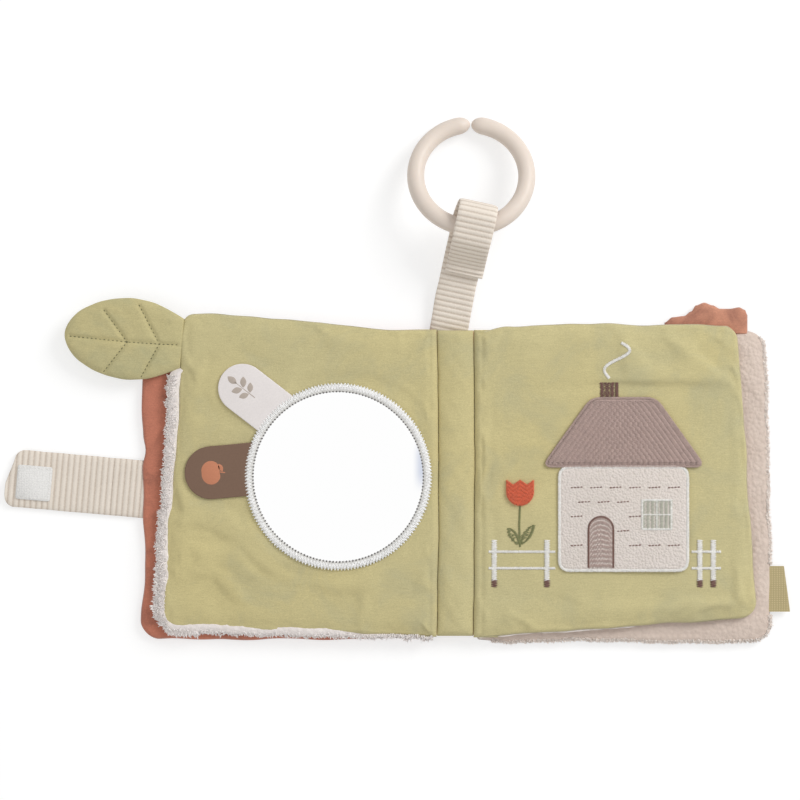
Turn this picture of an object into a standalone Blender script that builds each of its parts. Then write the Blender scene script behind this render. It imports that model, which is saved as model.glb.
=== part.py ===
"""Crinkle cloth book, open flat: four padded leaves on a soft spine, with a sewn-in mirror, two flaps,
a leaf tab, a lobed tab, a closing strap, and a ribbon that holds a split ring.

Metres, +Z up. The origin is in the middle of the spine's underside, +X runs across the open book to the
right, and +Y runs up the page. The left leaves fold up and over about +Y to close the book.
"""
from math import asin, atan2, cos, pi, radians, sin, sqrt, tan

import bmesh
import bpy
from mathutils import Matrix, Vector

# Sewing allowances
CLEARANCE = 0.0003
STACK_CLEARANCE = 0.0002

# Leaves: two covers that lie on the table, and two pages on top of them
COVER_REACH = 0.1520
HALF_HEIGHT = 0.0750
COVER_THICKNESS = 0.0048
PAGE_THICKNESS = 0.0042
COVER_WALL = 0.0010
PAGE_WALL = 0.0007
EDGE_ROLL = 0.0200
OUTER_CORNER = 0.0080
ROOT_CORNER = 0.0030
CRINKLE_FILM = 0.0003
WADDING_EDGE = 0.0004
SIDE_BOW = 0.0010
TOP_BOW = 0.0030

# How the padding rolls over at a leaf's edge: distance in from the edge and height, as shares
ROLL_SHARES = (0.0, 0.06, 0.2, 0.5, 1.0)
RISE_SHARES = (0.0, 0.45, 0.75, 0.95, 1.0)
ROOT_ROLL_SHARE = 0.4
CORE_ROLL_SHARE = 0.5
CORE_RISE_SHARE = 0.95

# Corners of each leaf as shares of the cover's reach and of half the height:
# fore-edge top, fore-edge bottom, root top, root bottom
LEAF_SHARES = {
    "front_cover": ((0.993, 1.013), (1.0, -1.009), 0.990, -1.0),
    "left_page": ((0.862, 1.100), (0.941, -0.927), 0.990, -0.990),
    "right_page": ((0.895, 0.977), (0.960, -0.865), 0.977, -0.997),
    "back_cover": ((0.987, 0.987), (1.010, -1.013), 0.975, -1.0),
}

# Spine
SPINE_HINGE_HEIGHT = 0.0030
SPINE_CROWN = 0.0020
SPINE_HALF_LENGTH = 0.0740

# Mirror and its stitched border
MIRROR_X = -0.0570
MIRROR_Y = 0.0033
MIRROR_FILM = 0.0004
FILM_ROUND_SHARE = 0.25
BORDER_RADIUS = 0.04475
BORDER_WIDTH = 0.00375
MIRROR_OPENING_RADIUS = BORDER_RADIUS - BORDER_WIDTH
BORDER_WALL = 0.00185
BORDER_RISE = 0.0012
BORDER_ROUND = 0.0004

# Flaps beside the mirror
FLAP_THICKNESS = 0.0009
FLAP_HINGE_GAP = 0.0002
FLAP_ROOT_GAP = 0.0004
WHITE_FLAP_RADIUS = 0.0118
WHITE_FLAP_REACH = BORDER_RADIUS + 0.01805
WHITE_FLAP_SHIFT = 0.0056
WHITE_FLAP_ANGLE = radians(142.3)
BROWN_FLAP_RADIUS = 0.0128
BROWN_FLAP_REACH = BORDER_RADIUS + 0.01625
BROWN_FLAP_SHIFT = 0.0075
BROWN_FLAP_ANGLE = radians(185.2)

# Stuffed leaf tab, sewn in the left page's side seam
LEAF_TAB_LENGTH = 0.0560
LEAF_TAB_HALF_WIDTH = 0.0200
LEAF_TAB_THICKNESS = 0.0040
LEAF_TAB_WALL = 0.0006
LEAF_TAB_ROLL = 0.0080
LEAF_TAB_Y = 0.0678
LEAF_TAB_ANGLE = radians(175.0)
LEAF_TAB_START_SHARE = 0.2
LEAF_TAB_BLUNT_SHARE = 0.75

# Lobed tab, sewn in the back cover's top seam
LOBE_TAB_LEFT = 0.1005
LOBE_TAB_RIGHT = 0.1405
LOBE_TAB_THICKNESS = 0.0026
LOBE_TAB_ROLL = 0.0040
# Each lobe's middle along the tab, its middle's height over the seam and its radius, as shares of the tab's width
LOBE_SHARES = ((0.09, 0.02, 0.115), (0.47, 0.07, 0.26), (0.84, 0.09, 0.20))

# Closing strap with its hook patch, and the loop patch under the back cover
STRAP_WIDTH = 0.0280
STRAP_THICKNESS = 0.0022
STRAP_RIB_PITCH = 0.0032
STRAP_RIB_DEPTH = 0.0003
STRAP_ROOT_REACH = 0.0040
STRAP_HINGE_X = -COVER_REACH - STRAP_ROOT_REACH
STRAP_HINGE_Y = -0.0028
STRAP_BEND_GAP = 0.0007
STRAP_END_HALF = 0.0003
STRAP_LEAN = radians(5.0)
STRAP_TIP_LENGTH = 0.0388
STRAP_END_SLANT = 0.0034
STRAP_END_ROUND = 0.0050
PATCH_SIDE = 0.0168
PATCH_THICKNESS = 0.0008
PATCH_END_MARGIN = 0.0055
LOOP_PATCH_THICKNESS = 0.00045
LOOP_PATCH_BORDER = 0.0012

# Hanging ribbon and split ring
RIBBON_WIDTH = 0.0185
RIBBON_THICKNESS = 0.0016
RIBBON_RIB_PITCH = 0.0034
RIBBON_RIB_DEPTH = 0.00025
RIBBON_X = -0.0029
RIBBON_ROOT_GAP = 0.0006
RIBBON_LEAN = radians(12.3)
RIBBON_PITCH = radians(13.1)
RIBBON_REACH = 0.0505
RIBBON_FOLD_REACH = 0.0050
RIBBON_LOOP_CLEAR = 0.0022
RIBBON_FLAT_REACH = 0.0040
RIBBON_END_REACH = 0.0210
RING_RADIUS = 0.0268
RING_TUBE = 0.00415
RING_TILT = radians(18.0)
RING_SPLIT = 0.0006
RING_END_ROUND = 0.0052

# Side label, folded double
LABEL_TOP = -0.0404
LABEL_BOTTOM = -0.0627
LABEL_REACH = 0.0088
LABEL_ROOT_GAP = 0.0002
LABEL_CLOTH = 0.0004

# Padded picture on the right page: wall, roof and flower head
PICTURE_RISE = 0.0010
PICTURE_EDGE = 0.0004
WALL_LEFT = 0.0500
WALL_RIGHT = 0.1120
WALL_BOTTOM = -0.0420
WALL_TOP = 0.0080
WALL_ROUND = 0.0050
ROOF_OVERHANG = 0.0080
ROOF_HEIGHT = 0.0330
ROOF_RIDGE_SHARE = 0.5
ROOF_ROUND = 0.0045
FLOWER_X = 0.0310
FLOWER_Y = -0.0040
FLOWER_HALF_WIDTH = 0.0068
FLOWER_HEIGHT = 0.0125
FLOWER_DIP_SHARE = 0.35

# Counts
CORNER_STEPS = 4
SIDE_STEPS = 6
CIRCLE_STEPS = 48
TUBE_SIDES = 10
RING_STEPS = 40
END_STEPS = 3
ROUND_STEPS = 5
LOBE_STEPS = 22
TAB_STEPS = 14

# Heights and hinge lines that follow from the sizes above
PAGE_BASE = COVER_THICKNESS + CLEARANCE
PAGE_TOP = PAGE_BASE + PAGE_THICKNESS
COVER_SEAM = COVER_THICKNESS / 2
PAGE_SEAM = PAGE_BASE + PAGE_THICKNESS / 2
TRIM_BASE = PAGE_TOP + CLEARANCE
STACK_TOP = TRIM_BASE + BORDER_RISE
PAGE_HINGE_HEIGHT = STACK_TOP + STACK_CLEARANCE
CLOSED_HEIGHT = 2 * PAGE_HINGE_HEIGHT
SPINE_HINGE_X = PAGE_HINGE_HEIGHT - SPINE_HINGE_HEIGHT
COVER_ROOT = SPINE_HINGE_X + SPINE_CROWN + CLEARANCE
PAGE_ROOT = SPINE_HINGE_X + SPINE_HINGE_HEIGHT + CLEARANCE


def clear_scene():
    """Removes whatever the file holds, so that a second run starts clean."""
    for old in list(bpy.data.objects):
        bpy.data.objects.remove(old, do_unlink=True)


def finish_material(name, colour, roughness, metallic=0.0):
    """One Principled BSDF with the piece's colour."""
    made = bpy.data.materials.new(name)
    made.use_nodes = True
    shader = made.node_tree.nodes["Principled BSDF"]
    shader.inputs["Base Color"].default_value = (*colour, 1.0)
    shader.inputs["Roughness"].default_value = roughness
    shader.inputs["Metallic"].default_value = metallic
    return made


def pivot(name, place, parent=None):
    """An empty on a joint's axis, which carries the pieces that move about it."""
    made = bpy.data.objects.new(name, None)
    made.location = place
    if parent is not None:
        made.parent = parent
        made.matrix_parent_inverse = Matrix.Translation(-world_place(parent))
    bpy.context.scene.collection.objects.link(made)
    return made


def world_place(empty):
    """An empty's place: every pivot is stored at its world place, because no pivot is turned."""
    return Vector(empty.location)


def loft(rings, capped=True):
    """Joins rings of equally many points, and closes both ends or runs round to the first ring."""
    shape = bmesh.new()
    loops = [[shape.verts.new(point) for point in ring] for ring in rings]
    pairs = list(zip(loops, loops[1:]))
    if not capped:
        pairs.append((loops[-1], loops[0]))
    for lower, upper in pairs:
        for i in range(len(lower)):
            j = (i + 1) % len(lower)
            shape.faces.new((lower[i], lower[j], upper[j], upper[i]))
    if capped:
        shape.faces.new(loops[0])
        shape.faces.new(loops[-1])
    return shape


def piece(name, shape, material, carrier, place=None):
    """Makes one named object from a bmesh, set at its place and carried by a pivot."""
    if place is not None:
        shape.transform(place)
    bmesh.ops.recalc_face_normals(shape, faces=shape.faces)
    mesh = bpy.data.meshes.new(name)
    shape.to_mesh(mesh)
    shape.free()
    mesh.materials.append(material)
    mesh.shade_smooth()
    mesh.set_sharp_from_angle(angle=radians(40.0))
    made = bpy.data.objects.new(name, mesh)
    made.parent = carrier
    made.matrix_parent_inverse = Matrix.Translation(-world_place(carrier))
    bpy.context.scene.collection.objects.link(made)
    return made


def frame_at(origin, along, up=Vector((0.0, 0.0, 1.0))):
    """A matrix whose X runs along a piece, Z out of its face and Y across it."""
    forward = along.normalized()
    across = up.cross(forward).normalized()
    normal = forward.cross(across)
    turn = Matrix((forward, across, normal)).transposed().to_4x4()
    return Matrix.Translation(origin) @ turn


def arc(centre, radius, start, end, steps):
    """Points on an arc, both ends included."""
    angles = [start + (end - start) * i / steps for i in range(steps + 1)]
    return [Vector((centre[0] + radius * cos(a), centre[1] + radius * sin(a))) for a in angles]


def rounded_outline(corners, radii, bows, side_steps=SIDE_STEPS):
    """A closed counter-clockwise outline with round corners; a side with a bow is drawn in by that much."""
    count = len(corners)
    rounds = []
    for i in range(count):
        corner = Vector(corners[i])
        before = (Vector(corners[i - 1]) - corner).normalized()
        after = (Vector(corners[(i + 1) % count]) - corner).normalized()
        half = before.angle(after) / 2
        centre = corner + (before + after).normalized() * (radii[i] / sin(half))
        first = corner + before * (radii[i] / tan(half)) - centre
        last = corner + after * (radii[i] / tan(half)) - centre
        start = atan2(first.y, first.x)
        sweep = (atan2(last.y, last.x) - start) % (2 * pi)
        rounds.append(arc(centre, radii[i], start, start + sweep, CORNER_STEPS))
    points = []
    for i in range(count):
        points += rounds[i]
        here = rounds[i][-1]
        there = rounds[(i + 1) % count][0]
        inward = Vector((here.y - there.y, there.x - here.x)).normalized()
        for step in range(1, side_steps):
            share = step / side_steps
            points.append(here.lerp(there, share) + inward * (bows[i] * sin(pi * share)))
    return points


def drawn_in(outline, inset, root_inset, height, side=1):
    """The outline drawn in by an inset, and by its own inset at the root, laid flat at a height."""
    low_x = min(point.x for point in outline)
    low_y = min(point.y for point in outline)
    width = max(point.x for point in outline) - low_x
    span = max(point.y for point in outline) - low_y
    x_scale = (width - inset - root_inset) / width
    y_scale = (span - 2 * inset) / span
    return [
        Vector((
            side * (low_x + root_inset + (point.x - low_x) * x_scale),
            low_y + inset + (point.y - low_y) * y_scale,
            height,
        ))
        for point in outline
    ]


def skin_shell(outline, seam, rise, wall, roll, root_share, up, side=1):
    """One half of a padded piece's cover: an open tray that rolls over from its seam to a flat middle."""
    rings = []
    for roll_share, rise_share in reversed(list(zip(ROLL_SHARES, RISE_SHARES))):
        inset = roll_share * roll
        height = seam + up * (CLEARANCE / 2 + rise_share * (rise - wall))
        rings.append(drawn_in(outline, wall + inset, wall + inset * root_share, height, side))
    for roll_share, rise_share in zip(ROLL_SHARES, RISE_SHARES):
        inset = roll_share * roll
        height = seam + up * (CLEARANCE / 2 + rise_share * rise)
        rings.append(drawn_in(outline, inset, inset * root_share, height, side))
    return loft(rings)


def pad(outline, inset, root_inset, low, high, edge, side=1):
    """A flat pad with softened edges."""
    return loft([
        drawn_in(outline, inset + edge, root_inset + edge, low, side),
        drawn_in(outline, inset, root_inset, low + edge, side),
        drawn_in(outline, inset, root_inset, high - edge, side),
        drawn_in(outline, inset + edge, root_inset + edge, high, side),
    ])


def sheet(outline, low, high, side=1):
    """A flat sheet with square edges."""
    return loft([drawn_in(outline, 0.0, 0.0, low, side), drawn_in(outline, 0.0, 0.0, high, side)])


def leaf_outline(name, root):
    """A leaf's outline, drawn as if it lay to the right of the spine."""
    fore_top, fore_bottom, root_top_share, root_bottom_share = LEAF_SHARES[name]
    corners = (
        (root, HALF_HEIGHT * root_bottom_share),
        (COVER_REACH * fore_bottom[0], HALF_HEIGHT * fore_bottom[1]),
        (COVER_REACH * fore_top[0], HALF_HEIGHT * fore_top[1]),
        (root, HALF_HEIGHT * root_top_share),
    )
    top_bow = -TOP_BOW if name == "right_page" else 0.0
    bows = (0.0, SIDE_BOW, top_bow, 0.0)
    return rounded_outline(corners, (ROOT_CORNER, OUTER_CORNER, OUTER_CORNER, ROOT_CORNER), bows)


def fore_edge_at(outline, height):
    """How far out a leaf's fore-edge is at a height up the page."""
    crossings = []
    for here, there in zip(outline, outline[1:] + outline[:1]):
        if (here.y - height) * (there.y - height) < 0:
            share = (height - here.y) / (there.y - here.y)
            crossings.append(here.x + (there.x - here.x) * share)
    return max(crossings)


def padded_leaf(name, outline, side, seam, thickness, wall, skins, carrier):
    """A leaf: two skins that meet at the seam, with crinkle film over wadding between them."""
    rise = (thickness - CLEARANCE) / 2
    for part_name, material, up in skins:
        shape = skin_shell(outline, seam, rise, wall, EDGE_ROLL, ROOT_ROLL_SHARE, up, side)
        piece(part_name, shape, material, carrier)
    room = CLEARANCE / 2 + CORE_RISE_SHARE * (rise - wall) - CLEARANCE
    inset = wall + CORE_ROLL_SHARE * EDGE_ROLL + CLEARANCE
    root_inset = wall + CORE_ROLL_SHARE * EDGE_ROLL * ROOT_ROLL_SHARE + CLEARANCE
    film_base = seam + room - CRINKLE_FILM
    wadding = pad(outline, inset, root_inset, seam - room, film_base - CLEARANCE, WADDING_EDGE, side)
    piece(name + "_wadding", wadding, WADDING, carrier)
    film = loft([
        drawn_in(outline, inset, root_inset, film_base, side),
        drawn_in(outline, inset, root_inset, film_base + CRINKLE_FILM, side),
    ])
    piece(name + "_crinkle_film", film, FILM, carrier)


def strip_section(split, below):
    """Half of the spine's section: flat along the split, round at both ends about the hinge lines."""
    turn = asin(abs(split - SPINE_HINGE_HEIGHT) / SPINE_CROWN)
    crown = -SPINE_CROWN if below else SPINE_CROWN
    ends = []
    for step in range(ROUND_STEPS + 1):
        angle = turn + (pi / 2 - turn) * step / ROUND_STEPS
        ends.append((SPINE_HINGE_X + SPINE_CROWN * cos(angle), SPINE_HINGE_HEIGHT + crown * sin(angle)))
    if below:
        ends.append((SPINE_HINGE_X, 0.0))
    return ends + [(-x, z) for x, z in reversed(ends)]


def spine_strip(name, material, below, carrier):
    """One of the two strips that make the spine, run out along the book's height."""
    split = SPINE_HINGE_HEIGHT + (-CLEARANCE / 2 if below else CLEARANCE / 2)
    section = strip_section(split, below)
    rings = [[Vector((x, y, z)) for x, z in section] for y in (-SPINE_HALF_LENGTH, SPINE_HALF_LENGTH)]
    return piece(name, loft(rings), material, carrier)


def disc(radius, low, high, edge):
    """A round sheet with a softened edge, about the mirror's middle."""
    levels = ((radius - edge, low), (radius, low + edge), (radius, high - edge), (radius - edge, high))
    return loft([circle(size, height) for size, height in levels])


def circle(radius, height):
    """A ring of points about the mirror's middle."""
    flat = arc((MIRROR_X, MIRROR_Y), radius, 0.0, 2 * pi, CIRCLE_STEPS)[:-1]
    return [Vector((point.x, point.y, height)) for point in flat]


def mirror_border():
    """The stitched border: a turned section with a domed top and a lip over the mirror's edge."""
    lip = TRIM_BASE + MIRROR_FILM + CLEARANCE
    wall_inside = BORDER_RADIUS - BORDER_WALL
    middle = (MIRROR_OPENING_RADIUS + BORDER_RADIUS) / 2
    section = (
        (BORDER_RADIUS, TRIM_BASE),
        (BORDER_RADIUS, STACK_TOP - 2 * BORDER_ROUND),
        (BORDER_RADIUS - BORDER_ROUND, STACK_TOP - BORDER_ROUND / 2),
        (middle, STACK_TOP),
        (MIRROR_OPENING_RADIUS + BORDER_ROUND, STACK_TOP - BORDER_ROUND / 2),
        (MIRROR_OPENING_RADIUS, lip),
        (wall_inside, lip),
        (wall_inside, TRIM_BASE),
    )
    return loft([circle(radius, height) for radius, height in section], capped=False)


def flap_shape(radius, reach, shift):
    """A flap with a round end. X runs out from the mirror's middle, and Z = 0 is the hinge's height."""
    start = BORDER_RADIUS + FLAP_HINGE_GAP + FLAP_ROOT_GAP
    outline = [Vector((start, shift - radius)), Vector((start, shift + radius))]
    outline += reversed(arc((reach, shift), radius, -pi / 2, pi / 2, 2 * ROUND_STEPS))
    low = TRIM_BASE - flap_hinge_height()
    return sheet(outline, low, low + FLAP_THICKNESS)


def flap_hinge_height():
    """The flaps turn about a line just over the border's top, so that they lift clear of it."""
    return STACK_TOP + CLEARANCE


def flap(name, material, radius, reach, shift, angle, parent):
    """A flap and the empty on its hinge line."""
    along = Vector((cos(angle), sin(angle), 0.0))
    middle = Vector((MIRROR_X, MIRROR_Y, flap_hinge_height()))
    hinge = pivot(name + "_hinge", middle + along * (BORDER_RADIUS + FLAP_HINGE_GAP), parent)
    return piece(name, flap_shape(radius, reach, shift), material, hinge, frame_at(middle, along))


def leaf_tab_outline():
    """A pointed leaf along +X, cut off square where it is sewn in."""
    upper = []
    for step in range(TAB_STEPS):
        share = step / TAB_STEPS
        swell = sin(pi * (LEAF_TAB_START_SHARE + (1 - LEAF_TAB_START_SHARE) * share))
        upper.append(Vector((LEAF_TAB_LENGTH * share, LEAF_TAB_HALF_WIDTH * swell ** LEAF_TAB_BLUNT_SHARE)))
    tip = [Vector((LEAF_TAB_LENGTH, 0.0))]
    return [Vector((point.x, -point.y)) for point in upper] + tip + list(reversed(upper))


def leaf_tab(carrier, place):
    """The stuffed leaf: two skins and its filling."""
    outline = leaf_tab_outline()
    rise = (LEAF_TAB_THICKNESS - CLEARANCE) / 2
    for name, up in (("leaf_tab_front", 1), ("leaf_tab_back", -1)):
        shape = skin_shell(outline, 0.0, rise, LEAF_TAB_WALL, LEAF_TAB_ROLL, ROOT_ROLL_SHARE, up)
        piece(name, shape, LEAF_GREEN, carrier, place)
    room = CLEARANCE / 2 + CORE_RISE_SHARE * (rise - LEAF_TAB_WALL) - CLEARANCE
    inset = LEAF_TAB_WALL + CORE_ROLL_SHARE * LEAF_TAB_ROLL + CLEARANCE
    filling = pad(outline, inset, inset, -room, room, WADDING_EDGE)
    piece("leaf_tab_wadding", filling, WADDING, carrier, place)


def lobe_height(x, width):
    """The lobed edge's height over the seam: the highest of the round lobes there."""
    highest = 0.0
    for middle_share, height_share, radius_share in LOBE_SHARES:
        offset = x - middle_share * width
        radius = radius_share * width
        if abs(offset) < radius:
            highest = max(highest, height_share * width + sqrt(radius * radius - offset * offset))
    return highest


def lobed_tab_shape():
    """The lobed tab with its seam along Y = 0 and padding between the lobes' edges."""
    width = LOBE_TAB_RIGHT - LOBE_TAB_LEFT
    top = []
    for step in range(1, LOBE_STEPS):
        share = step / LOBE_STEPS
        top.append(Vector((width * share, lobe_height(width * share, width))))
    seam_line = [Vector((width * i / ROUND_STEPS, 0.0)) for i in range(ROUND_STEPS + 1)]
    outline = seam_line + list(reversed(top))
    rise = LOBE_TAB_THICKNESS / 2
    rim = CLEARANCE / 2
    levels = list(zip(ROLL_SHARES, RISE_SHARES))[:-1]
    rings = []
    for up, order in ((-1, reversed(levels)), (1, levels)):
        for roll_share, rise_share in order:
            height = up * (rim + rise_share * (rise - rim))
            rings.append(seam_ring(outline, roll_share * LOBE_TAB_ROLL, height))
    return loft(rings)


def seam_ring(outline, inset, height):
    """The lobed outline drawn in towards its middle, and a little less along the seam."""
    high = max(point.y for point in outline)
    wide = max(point.x for point in outline)
    return [
        Vector((
            inset + point.x * (wide - 2 * inset) / wide,
            inset * ROOT_ROLL_SHARE + point.y * (high - inset - inset * ROOT_ROLL_SHARE) / high,
            height,
        ))
        for point in outline
    ]


def band(stations):
    """A ribbed band: each station has its middle, its normal, half its thickness and its two edges."""
    rings = []
    for middle, normal, half, left, right in stations:
        low = middle - normal * half
        high = middle + normal * half
        rings.append([
            Vector((low.x, left, low.y)),
            Vector((low.x, right, low.y)),
            Vector((high.x, right, high.y)),
            Vector((high.x, left, high.y)),
        ])
    return loft(rings)


def rib_half(index, thickness, depth):
    """Half the band's thickness: full on a rib, less between two ribs."""
    return thickness / 2 - (depth if index % 2 else 0.0)


def strap_stations(start, end, edges):
    """Stations along a flat strap, two for each rib, with thin ends at its bends."""
    count = max(2, round(2 * (end - start) / STRAP_RIB_PITCH))
    stations = []
    for i in range(count + 1):
        along = start + (end - start) * i / count
        half = rib_half(i, STRAP_THICKNESS, STRAP_RIB_DEPTH)
        if i in (0, count):
            half = STRAP_END_HALF
        left, right = edges(along)
        stations.append((Vector((along, 0.0)), Vector((0.0, 1.0)), half, left, right))
    return stations


def straight_edges(along):
    """The strap's two edges where it has its full width."""
    return -STRAP_WIDTH / 2, STRAP_WIDTH / 2


def tip_edges(along):
    """The strap's edges towards its slanted end, with round corners."""
    half = STRAP_WIDTH / 2
    last_low = STRAP_TIP_LENGTH
    last_high = STRAP_TIP_LENGTH - STRAP_END_SLANT
    edges = []
    for sign, last in ((1, last_low), (-1, last_high)):
        into = along - (last - STRAP_END_ROUND)
        drop = 0.0
        if into > 0:
            into = min(into, STRAP_END_ROUND)
            drop = STRAP_END_ROUND - sqrt(STRAP_END_ROUND ** 2 - into ** 2)
        if along > last:
            drop += (along - last) * STRAP_WIDTH / (STRAP_END_SLANT + STRAP_END_ROUND)
        edges.append(sign * (half - drop))
    return min(edges), max(edges)


def rounded_square(side, low, high, edge, centre_x=0.0, centre_y=0.0):
    """A square patch with small round corners."""
    half = side / 2
    corners = (
        (centre_x - half, centre_y - half), (centre_x + half, centre_y - half),
        (centre_x + half, centre_y + half), (centre_x - half, centre_y + half),
    )
    outline = rounded_outline(corners, (edge,) * 4, (0.0,) * 4, side_steps=1)
    return sheet(outline, low, high)


def ribbon_path():
    """The ribbon's middle line in its own plane: out, round the ring's loop, back, and down to its end."""
    across = ribbon_layer_gap()
    fold = RIBBON_REACH + RIBBON_FOLD_REACH
    flat_end = RIBBON_REACH - RIBBON_FLAT_REACH
    end = RIBBON_REACH - RIBBON_END_REACH
    drop = across - RIBBON_THICKNESS - CLEARANCE
    step = RIBBON_RIB_PITCH / 2
    path = []
    count = round(fold / step)
    for i in range(count):
        path.append(Vector((fold * i / count, 0.0)))
    turns = round(pi * across / 2 / step)
    path += arc((fold, across / 2), across / 2, -pi / 2, pi / 2, turns)
    count = round((fold - end) / step)
    for i in range(1, count + 1):
        along = fold + (end - fold) * i / count
        share = max(0.0, (flat_end - along) / (flat_end - end))
        path.append(Vector((along, across - drop * share * share * (3 - 2 * share))))
    return path


def tube_lift():
    """Height of the tube's middle over the ribbon's: the tube bends down and leans across the ribbon's width."""
    half = RIBBON_WIDTH / 2
    bend = (RING_RADIUS - sqrt(RING_RADIUS ** 2 - half ** 2)) * sin(RIBBON_PITCH + RING_TILT)
    lean = half * sin(RIBBON_LEAN) * sin(RIBBON_PITCH)
    return RIBBON_THICKNESS / 2 + CLEARANCE + bend + lean + RING_TUBE


def ribbon_layer_gap():
    """Distance between the middles of the ribbon's two layers at the ring's tube."""
    return tube_lift() + RING_TUBE + RIBBON_LOOP_CLEAR + RIBBON_THICKNESS / 2


def ribbon_shape():
    """The ribbed ribbon, swept along its path."""
    path = ribbon_path()
    stations = []
    for i, middle in enumerate(path):
        before = path[max(0, i - 1)]
        after = path[min(len(path) - 1, i + 1)]
        along = (after - before).normalized()
        normal = Vector((-along.y, along.x))
        half = rib_half(i, RIBBON_THICKNESS, RIBBON_RIB_DEPTH)
        if i == 0:
            half = CLEARANCE
        stations.append((middle, normal, half, -RIBBON_WIDTH / 2, RIBBON_WIDTH / 2))
    return band(stations)


def ring_radii():
    """Angle and tube radius along the split ring, with rounded ends that nearly meet."""
    gap = RING_SPLIT / RING_RADIUS / 2
    rounding = RING_END_ROUND / RING_RADIUS
    stops = []
    for i in range(END_STEPS + 1):
        share = i / END_STEPS
        size = RING_TUBE * sqrt(1 - (1 - share) ** 2 * (1 - CLEARANCE / RING_TUBE))
        stops.append((gap + rounding * share, size))
    body = 2 * pi - 2 * (gap + rounding)
    middle = [(gap + rounding + body * i / RING_STEPS, RING_TUBE) for i in range(1, RING_STEPS)]
    mirrored = [(2 * pi - angle, size) for angle, size in reversed(stops)]
    return stops + middle + mirrored


def ring_shape():
    """The split ring about its own middle, with its split on +X."""
    rings = []
    for angle, size in ring_radii():
        out = Vector((cos(angle), sin(angle), 0.0))
        section = []
        for side in range(TUBE_SIDES):
            turn = 2 * pi * side / TUBE_SIDES
            section.append(out * (RING_RADIUS + size * cos(turn)) + Vector((0.0, 0.0, size * sin(turn))))
        rings.append(section)
    return loft(rings)


def label_shape():
    """The folded label: out and back again, open along its two short sides."""
    lift = LABEL_CLOTH + CLEARANCE
    width = LABEL_TOP - LABEL_BOTTOM
    turns = arc((LABEL_REACH - lift / 2, 0.0), lift / 2, -pi / 2, pi / 2, ROUND_STEPS)
    path = [Vector((LABEL_ROOT_GAP, -lift / 2))] + turns + [Vector((LABEL_ROOT_GAP, lift / 2))]
    stations = []
    for i, middle in enumerate(path):
        before = path[max(0, i - 1)]
        after = path[min(len(path) - 1, i + 1)]
        along = (after - before).normalized()
        stations.append((middle, Vector((-along.y, along.x)), LABEL_CLOTH / 2, -width / 2, width / 2))
    return band(stations)


def picture_piece(name, outline, material, carrier):
    """A padded picture piece on the right page, with a softened top edge."""
    top = TRIM_BASE + PICTURE_RISE
    rings = [
        drawn_in(outline, 0.0, 0.0, TRIM_BASE),
        drawn_in(outline, 0.0, 0.0, top - PICTURE_EDGE),
        drawn_in(outline, PICTURE_EDGE, PICTURE_EDGE, top),
    ]
    return piece(name, loft(rings), material, carrier)


def cottage_picture(carrier):
    """A little house and a flower: plain shapes in the page's embroidery colours."""
    wall = ((WALL_LEFT, WALL_BOTTOM), (WALL_RIGHT, WALL_BOTTOM), (WALL_RIGHT, WALL_TOP), (WALL_LEFT, WALL_TOP))
    wall_outline = rounded_outline(wall, (WALL_ROUND, WALL_ROUND, PICTURE_EDGE, PICTURE_EDGE), (0.0,) * 4)
    picture_piece("picture_wall", wall_outline, CREAM_PLUSH, carrier)
    eaves = WALL_TOP + CLEARANCE
    middle = (WALL_LEFT + WALL_RIGHT) / 2
    ridge = (WALL_RIGHT - WALL_LEFT) / 2 * ROOF_RIDGE_SHARE
    roof = (
        (WALL_LEFT - ROOF_OVERHANG, eaves), (WALL_RIGHT + ROOF_OVERHANG, eaves),
        (middle + ridge, eaves + ROOF_HEIGHT), (middle - ridge, eaves + ROOF_HEIGHT),
    )
    picture_piece("picture_roof", rounded_outline(roof, (ROOF_ROUND,) * 4, (0.0,) * 4), MAUVE, carrier)
    picture_piece("picture_flower", flower_outline(), ORANGE, carrier)


def flower_outline():
    """A tulip head: a round cup with three points along its top."""
    cup = arc((FLOWER_X, FLOWER_Y), FLOWER_HALF_WIDTH, pi, 2 * pi, 2 * ROUND_STEPS)
    top = FLOWER_Y + FLOWER_HEIGHT - FLOWER_HALF_WIDTH
    dip = top - FLOWER_HALF_WIDTH * FLOWER_DIP_SHARE
    points = []
    for i, height in enumerate((top, dip, top, dip, top)):
        points.append(Vector((FLOWER_X + FLOWER_HALF_WIDTH * (1 - i / 2), height)))
    return cup + points


clear_scene()

GREEN = finish_material("green_velour", (0.55, 0.50, 0.25), 0.95)
LEAF_GREEN = finish_material("leaf_green_velour", (0.50, 0.50, 0.25), 0.95)
TERRACOTTA = finish_material("terracotta_velour", (0.43, 0.14, 0.09), 0.95)
SHERPA = finish_material("white_sherpa", (0.75, 0.70, 0.66), 1.0)
CREAM_PLUSH = finish_material("cream_plush", (0.73, 0.60, 0.54), 1.0)
WADDING = finish_material("white_wadding", (0.85, 0.85, 0.85), 1.0)
FILM = finish_material("crinkle_film", (0.8, 0.8, 0.8), 0.3)
MIRROR_SHEET = finish_material("mirror_film", (0.9, 0.9, 0.9), 0.05, 1.0)
WHITE_THREAD = finish_material("white_thread", (0.85, 0.84, 0.80), 0.7)
WHITE_FELT = finish_material("white_felt", (0.72, 0.67, 0.66), 0.8)
BROWN_FELT = finish_material("brown_felt", (0.18, 0.12, 0.10), 0.8)
RIBBED_WEAVE = finish_material("ribbed_cream_weave", (0.75, 0.67, 0.59), 0.9)
HOOK_WHITE = finish_material("white_hook_tape", (0.85, 0.84, 0.83), 0.9)
RING_PLASTIC = finish_material("beige_plastic", (0.72, 0.60, 0.50), 0.45)
LABEL_WEAVE = finish_material("olive_label", (0.40, 0.33, 0.13), 0.8)
MAUVE = finish_material("mauve_thread", (0.45, 0.33, 0.30), 0.8)
ORANGE = finish_material("orange_thread", (0.68, 0.11, 0.05), 0.8)

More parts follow.
